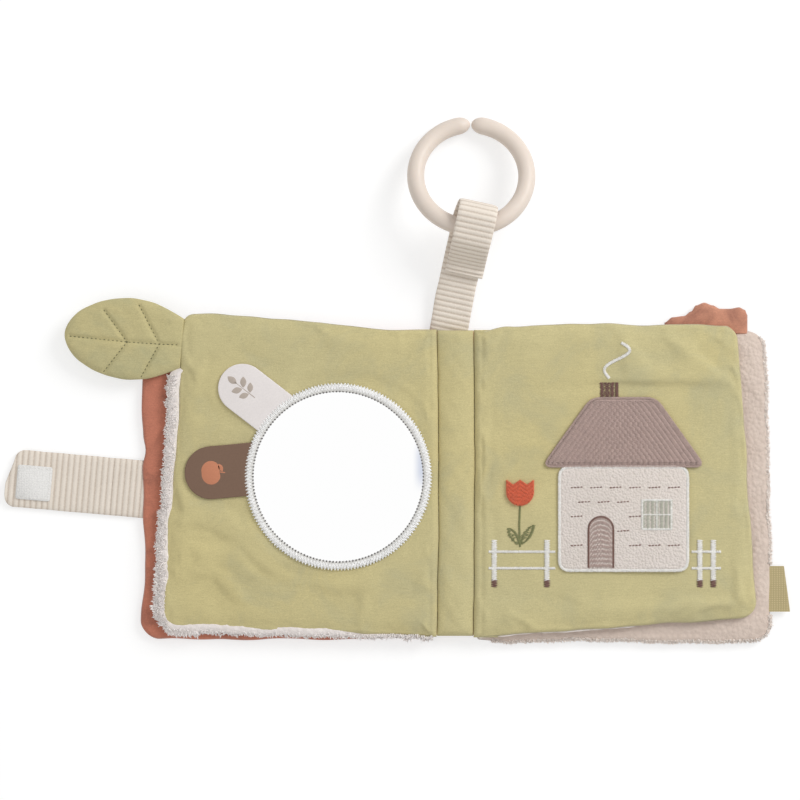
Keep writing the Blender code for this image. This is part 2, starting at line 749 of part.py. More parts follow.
# Pivots: the back cover lies still, and everything else hangs on it through the spine and the seams
back_pivot = pivot("back_cover_pivot", Vector((0.0, 0.0, 0.0)))
spine_pivot = pivot("spine_pivot", Vector((SPINE_HINGE_X, 0.0, SPINE_HINGE_HEIGHT)), back_pivot)
front_pivot = pivot("front_cover_pivot", Vector((-SPINE_HINGE_X, 0.0, SPINE_HINGE_HEIGHT)), spine_pivot)
left_pivot = pivot("left_page_pivot", Vector((-SPINE_HINGE_X, 0.0, PAGE_HINGE_HEIGHT)), front_pivot)
right_pivot = pivot("right_page_pivot", Vector((SPINE_HINGE_X, 0.0, PAGE_HINGE_HEIGHT)), back_pivot)

# Spine
spine_strip("spine_outer_strip", TERRACOTTA, True, spine_pivot)
spine_strip("spine_inner_strip", GREEN, False, spine_pivot)

# Leaves
cover_outlines = {name: leaf_outline(name, COVER_ROOT) for name in ("front_cover", "back_cover")}
page_outlines = {name: leaf_outline(name, PAGE_ROOT) for name in ("left_page", "right_page")}
padded_leaf(
    "front_cover", cover_outlines["front_cover"], -1, COVER_SEAM, COVER_THICKNESS, COVER_WALL,
    (("front_cover_lining", TERRACOTTA, 1), ("front_cover_outside", TERRACOTTA, -1)), front_pivot,
)
padded_leaf(
    "left_page", page_outlines["left_page"], -1, PAGE_SEAM, PAGE_THICKNESS, PAGE_WALL,
    (("left_page_front", GREEN, 1), ("left_page_back", SHERPA, -1)), left_pivot,
)
padded_leaf(
    "right_page", page_outlines["right_page"], 1, PAGE_SEAM, PAGE_THICKNESS, PAGE_WALL,
    (("right_page_front", GREEN, 1), ("right_page_back", SHERPA, -1)), right_pivot,
)
padded_leaf(
    "back_cover", cover_outlines["back_cover"], 1, COVER_SEAM, COVER_THICKNESS, COVER_WALL,
    (("back_cover_lining", CREAM_PLUSH, 1), ("back_cover_outside", CREAM_PLUSH, -1)), back_pivot,
)

# Mirror on the left page
film_radius = BORDER_RADIUS - BORDER_WALL - CLEARANCE
mirror_sheet = disc(film_radius, TRIM_BASE, TRIM_BASE + MIRROR_FILM, MIRROR_FILM * FILM_ROUND_SHARE)
piece("mirror_film", mirror_sheet, MIRROR_SHEET, left_pivot)
piece("mirror_border", mirror_border(), WHITE_THREAD, left_pivot)
flap("white_flap", WHITE_FELT, WHITE_FLAP_RADIUS, WHITE_FLAP_REACH, -WHITE_FLAP_SHIFT, WHITE_FLAP_ANGLE, left_pivot)
flap("brown_flap", BROWN_FELT, BROWN_FLAP_RADIUS, BROWN_FLAP_REACH, -BROWN_FLAP_SHIFT, BROWN_FLAP_ANGLE, left_pivot)

# Picture on the right page
cottage_picture(right_pivot)

# Leaf tab: its root lies just outside the left page's fore-edge
tab_low = LEAF_TAB_Y - LEAF_TAB_HALF_WIDTH
tab_edge = max(point.x for point in page_outlines["left_page"] if point.y > tab_low)
tab_root = Vector((-tab_edge - CLEARANCE, LEAF_TAB_Y, PAGE_SEAM))
tab_pivot = pivot("leaf_tab_pivot", tab_root, left_pivot)
leaf_tab(tab_pivot, frame_at(tab_root, Vector((cos(LEAF_TAB_ANGLE), sin(LEAF_TAB_ANGLE), 0.0))))

# Lobed tab: its root lies just outside the back cover's top edge
back_outline = cover_outlines["back_cover"]
lobe_edge = max(p.y for p in back_outline if LOBE_TAB_LEFT - EDGE_ROLL < p.x < LOBE_TAB_RIGHT)
lobe_root = Vector((LOBE_TAB_LEFT, lobe_edge + CLEARANCE, COVER_SEAM))
lobe_pivot = pivot("lobed_tab_pivot", lobe_root, back_pivot)
piece("lobed_tab", lobed_tab_shape(), TERRACOTTA, lobe_pivot, Matrix.Translation(lobe_root))

# Side label: its root lies just outside the back cover's fore-edge
label_edge = fore_edge_at(back_outline, LABEL_BOTTOM)
label_root = Vector((label_edge + CLEARANCE, (LABEL_TOP + LABEL_BOTTOM) / 2, COVER_SEAM))
label_pivot = pivot("side_label_pivot", label_root, back_pivot)
piece("side_label", label_shape(), LABEL_WEAVE, label_pivot, frame_at(label_root, Vector((1.0, 0.0, 0.0))))

# Closing strap: long enough between its two bends to pass round the closed book
strap_height = CLEARANCE + STRAP_THICKNESS / 2
strap_span = CLOSED_HEIGHT + CLEARANCE + STRAP_THICKNESS / 2 + PATCH_THICKNESS - strap_height
strap_along = Vector((-cos(STRAP_LEAN), sin(STRAP_LEAN), 0.0))
strap_hinge = Vector((STRAP_HINGE_X, STRAP_HINGE_Y, strap_height))
strap_bend = strap_hinge + strap_along * strap_span
strap_pivot = pivot("strap_base_pivot", strap_hinge, front_pivot)
strap_tip_pivot = pivot("strap_tip_pivot", strap_bend, strap_pivot)
strap_frame = frame_at(strap_hinge, strap_along)
tip_frame = frame_at(strap_bend, strap_along)
front_edge = max(p.x for p in cover_outlines["front_cover"] if abs(p.y) < STRAP_WIDTH)
root_reach = -STRAP_HINGE_X - front_edge - CLEARANCE - STRAP_WIDTH / 2 * tan(STRAP_LEAN)
strap_face = STRAP_THICKNESS / 2
root_band = strap_stations(-root_reach, -STRAP_BEND_GAP, straight_edges)
piece("strap_root", band(root_band), RIBBED_WEAVE, front_pivot, strap_frame)
base_band = strap_stations(0.0, strap_span - STRAP_BEND_GAP, straight_edges)
piece("strap_base", band(base_band), RIBBED_WEAVE, strap_pivot, strap_frame)
tip_band = strap_stations(0.0, STRAP_TIP_LENGTH, tip_edges)
piece("strap_tip", band(tip_band), RIBBED_WEAVE, strap_tip_pivot, tip_frame)
patch_middle = STRAP_TIP_LENGTH - PATCH_END_MARGIN - PATCH_SIDE / 2
hook_low = strap_face + CLEARANCE
hook_high = strap_face + PATCH_THICKNESS
hook = rounded_square(PATCH_SIDE, hook_low, hook_high, LOOP_PATCH_BORDER, patch_middle)
piece("hook_patch", hook, HOOK_WHITE, strap_tip_pivot, tip_frame)

# Loop patch: where the hook patch lands under the closed book
patch_x = -(STRAP_HINGE_X + patch_middle * cos(STRAP_LEAN))
patch_y = STRAP_HINGE_Y - patch_middle * sin(STRAP_LEAN)
loop_side = PATCH_SIDE + 2 * LOOP_PATCH_BORDER
recess_depth = LOOP_PATCH_THICKNESS + CLEARANCE
loop = rounded_square(loop_side, 0.0, LOOP_PATCH_THICKNESS, LOOP_PATCH_BORDER, patch_x, patch_y)
piece("loop_patch", loop, HOOK_WHITE, back_pivot)
cutter_side = loop_side + 2 * CLEARANCE
cutter_shape = rounded_square(cutter_side, -recess_depth, recess_depth, LOOP_PATCH_BORDER, patch_x, patch_y)
cutter = piece("loop_recess_cutter", cutter_shape, HOOK_WHITE, back_pivot)
cutter.hide_render = True
cutter.display_type = "WIRE"
recess = bpy.data.objects["back_cover_outside"].modifiers.new("loop_recess", "BOOLEAN")
recess.operation = "DIFFERENCE"
recess.solver = "EXACT"
recess.object = cutter

# Ribbon and ring
ribbon_flat = Vector((sin(RIBBON_LEAN), cos(RIBBON_LEAN), 0.0))
ribbon_y = SPINE_HALF_LENGTH + RIBBON_ROOT_GAP + RIBBON_WIDTH / 2 * sin(RIBBON_LEAN)
ribbon_root = Vector((RIBBON_X, ribbon_y, SPINE_HINGE_HEIGHT))
ribbon_along = ribbon_flat * cos(RIBBON_PITCH) + Vector((0.0, 0.0, sin(RIBBON_PITCH)))
ribbon_pivot = pivot("hanging_ribbon_pivot", ribbon_root, spine_pivot)
ribbon_frame = frame_at(ribbon_root, ribbon_along)
piece("hanging_ribbon", ribbon_shape(), RIBBED_WEAVE, ribbon_pivot, ribbon_frame)
tube_place = ribbon_frame @ Vector((RIBBON_REACH, 0.0, tube_lift()))
ring_pivot = pivot("hanging_ring_pivot", tube_place, ribbon_pivot)
ring_along = Vector((0.0, cos(RING_TILT), -sin(RING_TILT)))
ring_frame = frame_at(tube_place + ring_along * RING_RADIUS, ring_along)
piece("hanging_ring", ring_shape(), RING_PLASTIC, ring_pivot, ring_frame)
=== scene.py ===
"""Looks of the open crinkle cloth book: leaves, fleece, mirror, flaps, tabs, strap, ribbon and ring."""
from math import atan2, cos, exp, hypot, pi, radians, sin, sqrt, tanh
from random import Random

import bmesh
import bpy
from mathutils import Matrix, Vector, noise
from mathutils.bvhtree import BVHTree


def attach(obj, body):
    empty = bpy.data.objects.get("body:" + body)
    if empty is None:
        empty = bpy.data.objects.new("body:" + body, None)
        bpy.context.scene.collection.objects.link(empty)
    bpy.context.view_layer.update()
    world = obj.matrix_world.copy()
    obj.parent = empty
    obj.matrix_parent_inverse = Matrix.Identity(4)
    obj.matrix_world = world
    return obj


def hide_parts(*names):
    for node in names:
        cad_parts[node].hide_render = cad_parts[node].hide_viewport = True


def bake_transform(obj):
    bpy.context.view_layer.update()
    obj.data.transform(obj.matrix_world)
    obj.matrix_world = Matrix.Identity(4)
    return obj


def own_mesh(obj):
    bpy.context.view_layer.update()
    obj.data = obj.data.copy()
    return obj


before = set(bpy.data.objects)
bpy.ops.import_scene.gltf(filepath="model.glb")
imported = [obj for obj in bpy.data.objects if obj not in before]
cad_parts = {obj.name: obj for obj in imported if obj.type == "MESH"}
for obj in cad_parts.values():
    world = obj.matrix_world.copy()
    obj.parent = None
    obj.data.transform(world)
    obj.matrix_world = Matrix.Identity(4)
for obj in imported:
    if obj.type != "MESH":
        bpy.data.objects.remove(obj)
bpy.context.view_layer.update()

MM = 0.001

# Heights in the frame, in millimetres
COVER_SEAM = 2.4
PAGE_SEAM = 7.2
PAGE_TOP = 9.3
TRIM_BASE = 9.6

# Leaves: where each one's corners are, in millimetres, as if every leaf lay to the right of the spine
LEAVES = {
    "left_page": {"side": -1, "root": 11.0, "fore_top": (131.2, 82.3), "fore_bottom": (143.0, -69.5),
                  "root_top": 74.2, "root_bottom": -74.2, "seam": PAGE_SEAM, "rise": 2.1, "seed": 3.1},
    "right_page": {"side": 1, "root": 11.0, "fore_top": (136.2, 73.3), "fore_bottom": (146.0, -65.0),
                   "root_top": 73.3, "root_bottom": -74.6, "seam": PAGE_SEAM, "rise": 2.1, "seed": 8.4},
    "front_cover": {"side": -1, "root": 10.4, "fore_top": (151.0, 75.8), "fore_bottom": (152.2, -75.6),
                    "root_top": 74.2, "root_bottom": -75.0, "seam": COVER_SEAM, "rise": 2.4, "seed": 5.7},
    "back_cover": {"side": 1, "root": 10.4, "fore_top": (150.0, 74.0), "fore_bottom": (153.4, -75.8),
                   "root_top": 73.1, "root_bottom": -75.0, "seam": COVER_SEAM, "rise": 2.4, "seed": 1.9},
}
# Extra bow of a side outwards, in millimetres, at shares of its length: the cut isn't quite straight
BOWS = {
    ("right_page", "top"): ((0.0, 0.0), (0.12, 3.2), (0.5, 3.9), (0.85, 3.9), (0.95, 3.2), (1.0, 1.6)),
    ("left_page", "top"): ((0.0, 0.0), (0.25, -1.2), (0.55, 0.4), (0.85, 0.9), (1.0, 0.0)),
    ("left_page", "fore"): ((0.0, 0.0), (0.3, 0.4), (0.7, -0.6), (0.86, 0.8), (1.0, 0.8)),
    ("front_cover", "fore"): ((0.0, 0.0), (0.06, 1.3), (0.22, -0.8), (0.45, 0.0), (0.55, 0.4), (0.60, -0.6),
                              (0.655, 1.0), (0.78, 1.5), (1.0, 0.6)),
    ("front_cover", "bottom"): ((0.0, 0.5), (0.5, 0.8), (1.0, 0.4)),
    ("back_cover", "fore"): ((0.0, 0.0), (0.3, 0.5), (0.7, 0.6), (1.0, 0.2)),
    ("back_cover", "bottom"): ((0.0, 1.2), (0.1, 2.5), (0.25, 1.6), (0.4, 0.9), (0.6, 1.7), (0.85, 1.8),
                               (1.0, 0.5)),
}
STRAIGHT = ((0.0, 0.0), (1.0, 0.0))
# How far the fleece on a page's back stands out past the velour, in millimetres
FLEECE_REACH = {
    ("left_page", "fore"): ((0.0, 1.2), (0.08, 3.0), (0.3, 4.0), (0.55, 5.0), (0.78, 5.6), (0.81, 5.2),
                            (0.85, -0.8), (1.0, -0.8)),
    ("left_page", "bottom"): ((0.0, 1.2), (0.5, 2.0), (1.0, 2.2)),
    ("left_page", "top"): ((0.0, -0.8), (1.0, -0.8)),
    ("right_page", "fore"): ((0.0, -0.8), (1.0, -1.0)),
    ("right_page", "bottom"): ((0.0, 0.4), (0.4, 0.6), (0.8, -0.2), (1.0, -0.8)),
    ("right_page", "top"): ((0.0, -0.8), (1.0, -0.8)),
}
EDGE_WAVE = 0.55
FORE_CORNER = 8.5
TIGHT_CORNER = 5.2
ROOT_CORNER = 1.2

MIRROR_X = -57.0
MIRROR_Y = 3.3
BORDER_EDGE = 44.75


def steady(seed, *place):
    """Smooth noise from -1 to 1, the same on each run."""
    x, y, z = (tuple(place) + (0.0, 0.0))[:3]
    return noise.noise(Vector((x + seed * 7.31, y - seed * 3.17, z + seed)))


def smooth(share):
    """A share eased in and out."""
    share = min(1.0, max(0.0, share))
    return share * share * (3 - 2 * share)


def domed(share):
    """Height of a quarter round at a share of its width, from 0 at its edge to 1."""
    return sqrt(max(0.0, 1 - (1 - min(1.0, share)) ** 2))


def mixed(table, share):
    """A value read from (share, value) pairs with eased steps between them."""
    for (low, first), (high, second) in zip(table, table[1:]):
        if share <= high:
            return first + (second - first) * smooth((share - low) / (high - low))
    return table[-1][1]


def heading(angle):
    """The way across the book at an angle in degrees."""
    return Vector((cos(radians(angle)), sin(radians(angle)), 0.0))


# Node trees of materials, of the studio and of what repeats


def fill(tree, node, inputs):
    """Joins or fills a node's inputs, which are named or numbered."""
    for key, value in dict(inputs).items():
        if isinstance(value, bpy.types.NodeSocket):
            tree.links.new(value, node.inputs[key])
        else:
            node.inputs[key].default_value = value


def linked(owner, kind, inputs=(), **settings):
    """Adds a node to a material, a world or a tree, with its properties and its inputs."""
    tree = getattr(owner, "node_tree", owner)
    node = tree.nodes.new(kind)
    for key, value in settings.items():
        setattr(node, key, value)
    fill(tree, node, inputs)
    return node


def maths(owner, operation, *values):
    """One step of arithmetic on values."""
    return linked(owner, "ShaderNodeMath", enumerate(values), operation=operation).outputs[0]


# Materials


def opaque(colour):
    """A colour with full cover; one number stands for a grey."""
    return (*colour, 1.0) if isinstance(colour, tuple) else (colour, colour, colour, 1.0)


def new_material(name, colour, roughness):
    """A material with its main colour and roughness."""
    made = bpy.data.materials.new(name)
    made.use_nodes = True
    fill(made.node_tree, made.node_tree.nodes["Principled BSDF"],
         {"Base Color": opaque(colour), "Roughness": roughness, "Specular IOR Level": 0.25})
    return made


def finished(made, tone, looks=(), relief=None):
    """Joins a material's colour, other looks and relief (height, strength, metres) to its shader."""
    inputs = {"Base Color": tone, **dict(looks)}
    if relief:
        bump = linked(made, "ShaderNodeBump", zip(("Height", "Strength", "Distance"), relief))
        inputs["Normal"] = bump.outputs["Normal"]
    fill(made.node_tree, made.node_tree.nodes["Principled BSDF"], inputs)
    return made


def place_of(made, stretch=(1.0, 1.0, 1.0)):
    """Object coordinates, stretched for a pattern."""
    where = linked(made, "ShaderNodeTexCoord")
    mapped = linked(made, "ShaderNodeMapping", {"Vector": where.outputs["Object"], "Scale": stretch})
    return mapped.outputs["Vector"]


def noise_of(made, scale, detail=3.0, roughness=0.5, distortion=0.0, stretch=(1.0, 1.0, 1.0)):
    """A noise pattern's value."""
    return linked(made, "ShaderNodeTexNoise", {
        "Vector": place_of(made, stretch), "Scale": scale, "Detail": detail, "Roughness": roughness,
        "Distortion": distortion,
    }).outputs["Fac"]


def ramp_of(made, value, *stops):
    """A colour ramp from (place, colour) stops."""
    node = linked(made, "ShaderNodeValToRGB", {"Fac": value})
    ends = node.color_ramp.elements
    for element, (place, colour) in zip(ends, (stops[0], stops[-1])):
        element.position = place
        element.color = opaque(colour)
    for place, colour in stops[1:-1]:
        ends.new(place).color = opaque(colour)
    return node.outputs["Color"]


def mixed_colour(made, factor, first, second, blend="MIX"):
    """Two colours mixed by a value."""
    sources = {0: factor}
    for index, value in ((6, first), (7, second)):
        sources[index] = value if isinstance(value, bpy.types.NodeSocket) else opaque(value)
    return linked(made, "ShaderNodeMix", sources, data_type="RGBA", blend_type=blend).outputs[2]


def shaded(colour, share):
    """A colour made darker or lighter."""
    return tuple(min(1.0, channel * share) for channel in colour)


def tinted(colour, other, share):
    """A colour moved towards another."""
    return tuple(a + (b - a) * share for a, b in zip(colour, other))


def velour(name, colour, cool, sheen=0.35, brushed=0.09, broad_scale=34.0):
    """Short velour: brushed patches, a fine nap and a soft sheen."""
    made = new_material(name, colour, 0.92)
    patches = noise_of(made, broad_scale, 4.0, 0.62, 0.6)
    broad = noise_of(made, 11.0, 2.0)
    nap = noise_of(made, 1500.0, 2.0, 0.7, 0.0, (1.0, 1.7, 1.0))
    lines = noise_of(made, 900.0, 2.0, 0.6, 0.0, (0.25, 2.4, 1.0))
    tone = ramp_of(made, patches, (0.30, shaded(tinted(colour, cool, 0.55), 1 - brushed)), (0.5, colour),
                   (0.70, shaded(colour, 1 + brushed * 0.7)))
    cooler = mixed_colour(made, 0.45, tone, shaded(tinted(colour, cool, 0.8), 0.97))
    tone = mixed_colour(made, ramp_of(made, broad, (0.35, 0.0), (0.65, 1.0)), tone, cooler)
    tone = mixed_colour(made, 0.75, tone, ramp_of(made, nap, (0.25, 0.80), (0.75, 1.14)), "MULTIPLY")
    tone = mixed_colour(made, 0.55, tone, ramp_of(made, lines, (0.25, 0.88), (0.75, 1.07)), "MULTIPLY")
    relief = maths(made, "ADD", maths(made, "MULTIPLY", nap, 0.5), maths(made, "MULTIPLY", lines, 0.35))
    relief = maths(made, "ADD", relief, maths(made, "MULTIPLY", patches, 1.2))
    return finished(made, tone, {
        "Sheen Weight": sheen, "Sheen Roughness": 0.45,
        "Sheen Tint": opaque(tinted(colour, (1.0, 1.0, 1.0), 0.5)),
    }, (relief, 0.35, 0.0005))


def fleece(name, colour, gap_shade_and_tone, curl=420.0):
    """Curly fleece: small tufts with painted shade in the gaps between them and painted highlight on their
    tops.
    """
    made = new_material(name, colour, 0.95)
    curls = linked(made, "ShaderNodeTexVoronoi", {
        "Vector": place_of(made), "Scale": curl, "Randomness": 1.0, "Smoothness": 0.6,
    }, feature="SMOOTH_F1").outputs["Distance"]
    fibres = noise_of(made, 1600.0, 3.0, 0.7, 1.5)
    # Painted shade and highlight: tuft middles are a little lighter, and the gaps between tufts take the
    # darker gap colour, which also varies the tone at random.
    tone = ramp_of(made, curls, (0.0, shaded(colour, 1.05)), (0.55, colour), (1.0, gap_shade_and_tone))
    tone = mixed_colour(made, 0.35, tone, ramp_of(made, fibres, (0.3, 0.85), (0.7, 1.1)), "MULTIPLY")
    tone = mixed_colour(made, 0.3, tone, ramp_of(made, noise_of(made, 60.0), (0.35, gap_shade_and_tone), (0.65, colour)))
    relief = maths(made, "SUBTRACT", maths(made, "MULTIPLY", fibres, 0.6), curls)
    return finished(made, tone, {"Sheen Weight": 0.3}, (relief, 0.6, 0.0010))


def pile(name, colour):
    """Single locks of pile, which let some light through."""
    made = new_material(name, colour, 1.0)
    tone = ramp_of(made, noise_of(made, 300.0, 2.0), (0.3, shaded(colour, 0.94)), (0.7, shaded(colour, 1.04)))
    return finished(made, tone, {"Sheen Weight": 0.4, "Subsurface Weight": 0.35,
                                 "Subsurface Radius": (1.0, 1.0, 1.0), "Subsurface Scale": 0.002})


def thread(name, colour):
    """Shiny embroidery thread."""
    made = new_material(name, colour, 0.55)
    strands = noise_of(made, 900.0, 2.0, 0.6)
    tone = ramp_of(made, strands, (0.25, shaded(colour, 0.82)), (0.7, shaded(colour, 1.08)))
    return finished(made, tone, {"Sheen Weight": 0.25, "Specular IOR Level": 0.4}, (strands, 0.3, 0.0001))


def felt(name, colour, roughness=0.8):
    """Smooth felted cloth with a faint grain."""
    made = new_material(name, colour, roughness)
    grain = noise_of(made, 1300.0, 3.0, 0.65)
    broad = noise_of(made, 90.0, 2.0)
    tone = ramp_of(made, grain, (0.3, shaded(colour, 0.93)), (0.7, shaded(colour, 1.05)))
    tone = mixed_colour(made, 0.4, tone, ramp_of(made, broad, (0.35, shaded(colour, 0.95)), (0.65, colour)))
    return finished(made, tone, {"Sheen Weight": 0.12}, (grain, 0.15, 0.0002))


def ribbed(name, colour, gap):
    """Fluffy ribbed cloth with painted shade in the gaps between ribs: the UV's first part counts ribs."""
    made = new_material(name, colour, 0.92)
    where = linked(made, "ShaderNodeUVMap", uv_map="ribs")
    parts = linked(made, "ShaderNodeSeparateXYZ", {"Vector": where.outputs["UV"]})
    wave = maths(made, "COSINE", maths(made, "MULTIPLY", parts.outputs["X"], 2 * pi))
    wave = maths(made, "MULTIPLY_ADD", wave, 0.5, 0.5)
    fibres = noise_of(made, 1500.0, 3.0, 0.7, 0.6)
    ragged = maths(made, "ADD", wave, maths(made, "MULTIPLY_ADD", fibres, 0.5, -0.25))
    # Painted shade and highlight: the gap colour darkens the grooves between ribs, and the crests are a
    # little lighter.
    tone = ramp_of(made, ragged, (0.0, gap), (0.32, shaded(colour, 0.97)), (0.9, shaded(colour, 1.04)))
    tone = mixed_colour(made, 0.5, tone, ramp_of(made, fibres, (0.3, 0.9), (0.7, 1.06)), "MULTIPLY")
    patches = ramp_of(made, noise_of(made, 120.0), (0.35, (0.95, 0.94, 0.93)), (0.65, 1.02))
    tone = mixed_colour(made, 0.5, tone, patches, "MULTIPLY")
    relief = maths(made, "ADD", fibres, maths(made, "MULTIPLY", wave, 0.6))
    return finished(made, tone, {"Sheen Weight": 0.3}, (relief, 0.4, 0.0004))


def woven(name, colour, dark, pitch):
    """Woven ribbon: fine crossing threads."""
    made = new_material(name, colour, 0.7)
    warp, weft = (
        linked(made, "ShaderNodeTexWave", {"Vector": place_of(made), "Scale": scale, "Distortion": 0.4},
               bands_direction=way).outputs["Fac"] for way, scale in (("X", pitch), ("Y", pitch * 1.15)))
    cloth = maths(made, "MULTIPLY", warp, weft)
    tone = ramp_of(made, cloth, (0.0, dark), (0.7, colour))
    return finished(made, tone, {"Sheen Weight": 0.15}, (cloth, 0.4, 0.00015))


def hook_cloth(name, colour):
    """Hook tape: a close field of small hooks."""
    made = new_material(name, colour, 0.75)
    hooks = linked(made, "ShaderNodeTexVoronoi", {
        "Vector": place_of(made), "Scale": 1250.0, "Randomness": 0.45}).outputs["Distance"]
    # Painted shade: the tape is darker between the hooks, where its relief is low, and a little lighter on
    # them.
    tone = ramp_of(made, hooks, (0.0, shaded(colour, 1.04)), (0.9, shaded(colour, 0.78)))
    return finished(made, tone, {}, (maths(made, "SUBTRACT", 1.0, hooks), 0.5, 0.0004))


def moulded(name, colour):
    """Satin moulded plastic."""
    made = new_material(name, colour, 0.42)
    grain = noise_of(made, 700.0, 2.0)
    tone = ramp_of(made, noise_of(made, 40.0, 2.0), (0.3, shaded(colour, 0.975)), (0.7, shaded(colour, 1.02)))
    return finished(made, tone, {
        "Roughness": maths(made, "MULTIPLY_ADD", grain, 0.12, 0.38), "Specular IOR Level": 0.4,
        "Subsurface Weight": 0.06, "Subsurface Radius": (0.004, 0.003, 0.002),
    }, (grain, 0.06, 0.0001))


def mirror_sheet(name, silver=(0.99, 0.99, 0.99), cool=(0.66, 0.70, 0.80)):
    """Bright film with a slight wave and a faint painted reflection, a cool smear near its inner edge."""
    made = new_material(name, silver, 0.06)
    # Painted reflection: the cool colour is mixed in near the film's inner edge, where near and high mask it.
    parts = linked(made, "ShaderNodeSeparateXYZ", {"Vector": place_of(made)})
    away = maths(made, "ABSOLUTE", maths(made, "ADD", parts.outputs["Y"], -0.009))
    near, high = (
        linked(made, "ShaderNodeMapRange", {"Value": value, "From Min": none, "From Max": full},
               interpolation_type="SMOOTHSTEP").outputs["Result"]
        for value, none, full in ((parts.outputs["X"], -0.0215, -0.0165), (away, 0.0145, 0.003)))
    tone = mixed_colour(made, maths(made, "MULTIPLY", near, high), silver, cool)
    return finished(made, tone, {"Metallic": 1.0}, (noise_of(made, 28.0, 2.0), 0.25, 0.0012))


GREEN = velour("green_velour", (0.615, 0.535, 0.268), (0.560, 0.530, 0.325), 0.45, 0.11)
LEAF_GREEN = velour("leaf_velour", (0.593, 0.513, 0.258), (0.52, 0.50, 0.29))
TERRACOTTA = velour("terracotta_velour", (0.575, 0.212, 0.136), (0.46, 0.185, 0.130), 0.55, 0.22, 85.0)
LOBE_VELOUR = velour("lobe_velour", (0.560, 0.262, 0.172), (0.44, 0.19, 0.14), 0.6, 0.25, 80.0)
# The third colour of each fleece is the painted shade between its tufts, also used for random tone.
FLEECE = fleece("white_fleece", (0.930, 0.865, 0.835), (0.84, 0.76, 0.72))
FLEECE_PILE = pile("fleece_pile", (0.970, 0.905, 0.875))
PLUSH = fleece("cream_plush", (0.745, 0.620, 0.540), (0.65, 0.53, 0.455), 520.0)
PLUSH_PILE = pile("plush_pile", (0.900, 0.800, 0.725))
WHITE_THREAD = thread("white_thread", (0.86, 0.845, 0.81))
BROWN_THREAD = thread("brown_thread", (0.17, 0.085, 0.065))
MAUVE_THREAD = thread("mauve_thread", (0.45, 0.33, 0.295))
ORANGE_THREAD = thread("orange_thread", (0.68, 0.125, 0.05))
GREEN_THREAD = thread("green_thread", (0.21, 0.22, 0.085))
VEIN_THREAD = thread("vein_thread", (0.135, 0.130, 0.050))
# Painted shade: the grey band under the white border stitches shows as the shade between them.
BORDER_GAP_SHADE = thread("border_gap_shade", (0.74, 0.73, 0.70))
BORDER_THREAD = thread("border_thread", (0.97, 0.965, 0.95))
GLASS_THREAD = thread("glass_thread", (0.50, 0.50, 0.42))
HOLE_SHADE = felt("needle_hole", (0.16, 0.15, 0.15))
WHITE_FELT = felt("white_felt", (0.840, 0.790, 0.775))
BROWN_FELT = felt("brown_felt", (0.198, 0.121, 0.083), 0.6)
TAUPE_PRINT = felt("taupe_print", (0.50, 0.43, 0.375))
RUST_PRINT = felt("rust_print", (0.58, 0.235, 0.135))
# The ribbed cloth's last colour is the painted shade in the gaps between its ribs.
RIBBED = ribbed("ribbed_weave", (0.840, 0.762, 0.672), (0.66, 0.565, 0.475))
HOOK_WHITE = hook_cloth("hook_tape", (0.92, 0.91, 0.89))
RING_PLASTIC = moulded("ring_plastic", (0.765, 0.670, 0.590))
LABEL_CLOTH = woven("label_weave", (0.57, 0.475, 0.27), (0.42, 0.345, 0.18), 260.0)
MIRROR = mirror_sheet("mirror_film")
WALL_CLOTH = fleece("wall_cloth", (0.810, 0.735, 0.685), (0.74, 0.66, 0.59), 900.0)


# Making and finishing pieces


def settled(made, body=None):
    """A piece that rides on its body, where one is given."""
    if body:
        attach(made, body)
    return made


def new_mesh(name, points, faces, material=None, ribs=None):
    """A smooth mesh object whose faces point outwards; ribs is a UV value for each point."""
    mesh = bpy.data.meshes.new(name)
    mesh.from_pydata([tuple(point) for point in points], [], faces)
    if material:
        mesh.materials.append(material)
    if ribs:
        layer = mesh.uv_layers.new(name="ribs")
        for loop in mesh.loops:
            layer.data[loop.index].uv = ribs[loop.vertex_index]
    shape = bmesh.new()
    shape.from_mesh(mesh)
    bmesh.ops.remove_doubles(shape, verts=shape.verts, dist=1e-7)
    bmesh.ops.recalc_face_normals(shape, faces=shape.faces)
    shape.to_mesh(mesh)
    shape.free()
    mesh.shade_smooth()
    return in_scene(name, mesh)


def in_scene(name, content):
    """An object with a mesh, a lamp or a camera in it."""
    made = bpy.data.objects.new(name, content)
    bpy.context.scene.collection.objects.link(made)
    return made


def new_piece(name, points, faces, material, body=None, ribs=None):
    """A mesh piece in its place."""
    return settled(new_mesh(name, points, faces, material, ribs), body)


def grid_faces(rows, columns, offset=0, flip=False):
    """Faces of a grid of points that is stored row by row."""
    faces = []
    for i in range(rows - 1):
        for j in range(columns - 1):
            a = offset + i * columns + j
            face = (a, a + 1, a + columns + 1, a + columns)
            faces.append(face[::-1] if flip else face)
    return faces


def two_sheets(rows, columns, flip, sides=None, ends=None):
    """Faces of two grids stored one after the other, joined along their side columns and their end rows."""
    base = rows * columns
    faces = grid_faces(rows, columns, 0, flip) + grid_faces(rows, columns, base, not flip)
    for i in range(rows - 1):
        for j in (0, columns - 1) if sides is None else sides:
            a, b = i * columns + j, (i + 1) * columns + j
            faces.append((a, b, base + b, base + a))
    for j in range(columns - 1):
        for i in (0, rows - 1) if ends is None else ends:
            a, b = i * columns + j, i * columns + j + 1
            faces.append((a, b, base + b, base + a))
    return faces


def tube_faces(count, ring, closed=False):
    """Faces of a tube from rings of points, with a face at each end unless it closes on itself."""
    faces = []
    for i in range(count if closed else count - 1):
        a, b = i * ring, (i + 1) % count * ring
        faces += [(a + j, a + (j + 1) % ring, b + (j + 1) % ring, b + j) for j in range(ring)]
    if not closed:
        faces += [tuple(range(ring))[::-1], tuple(range((count - 1) * ring, count * ring))]
    return faces


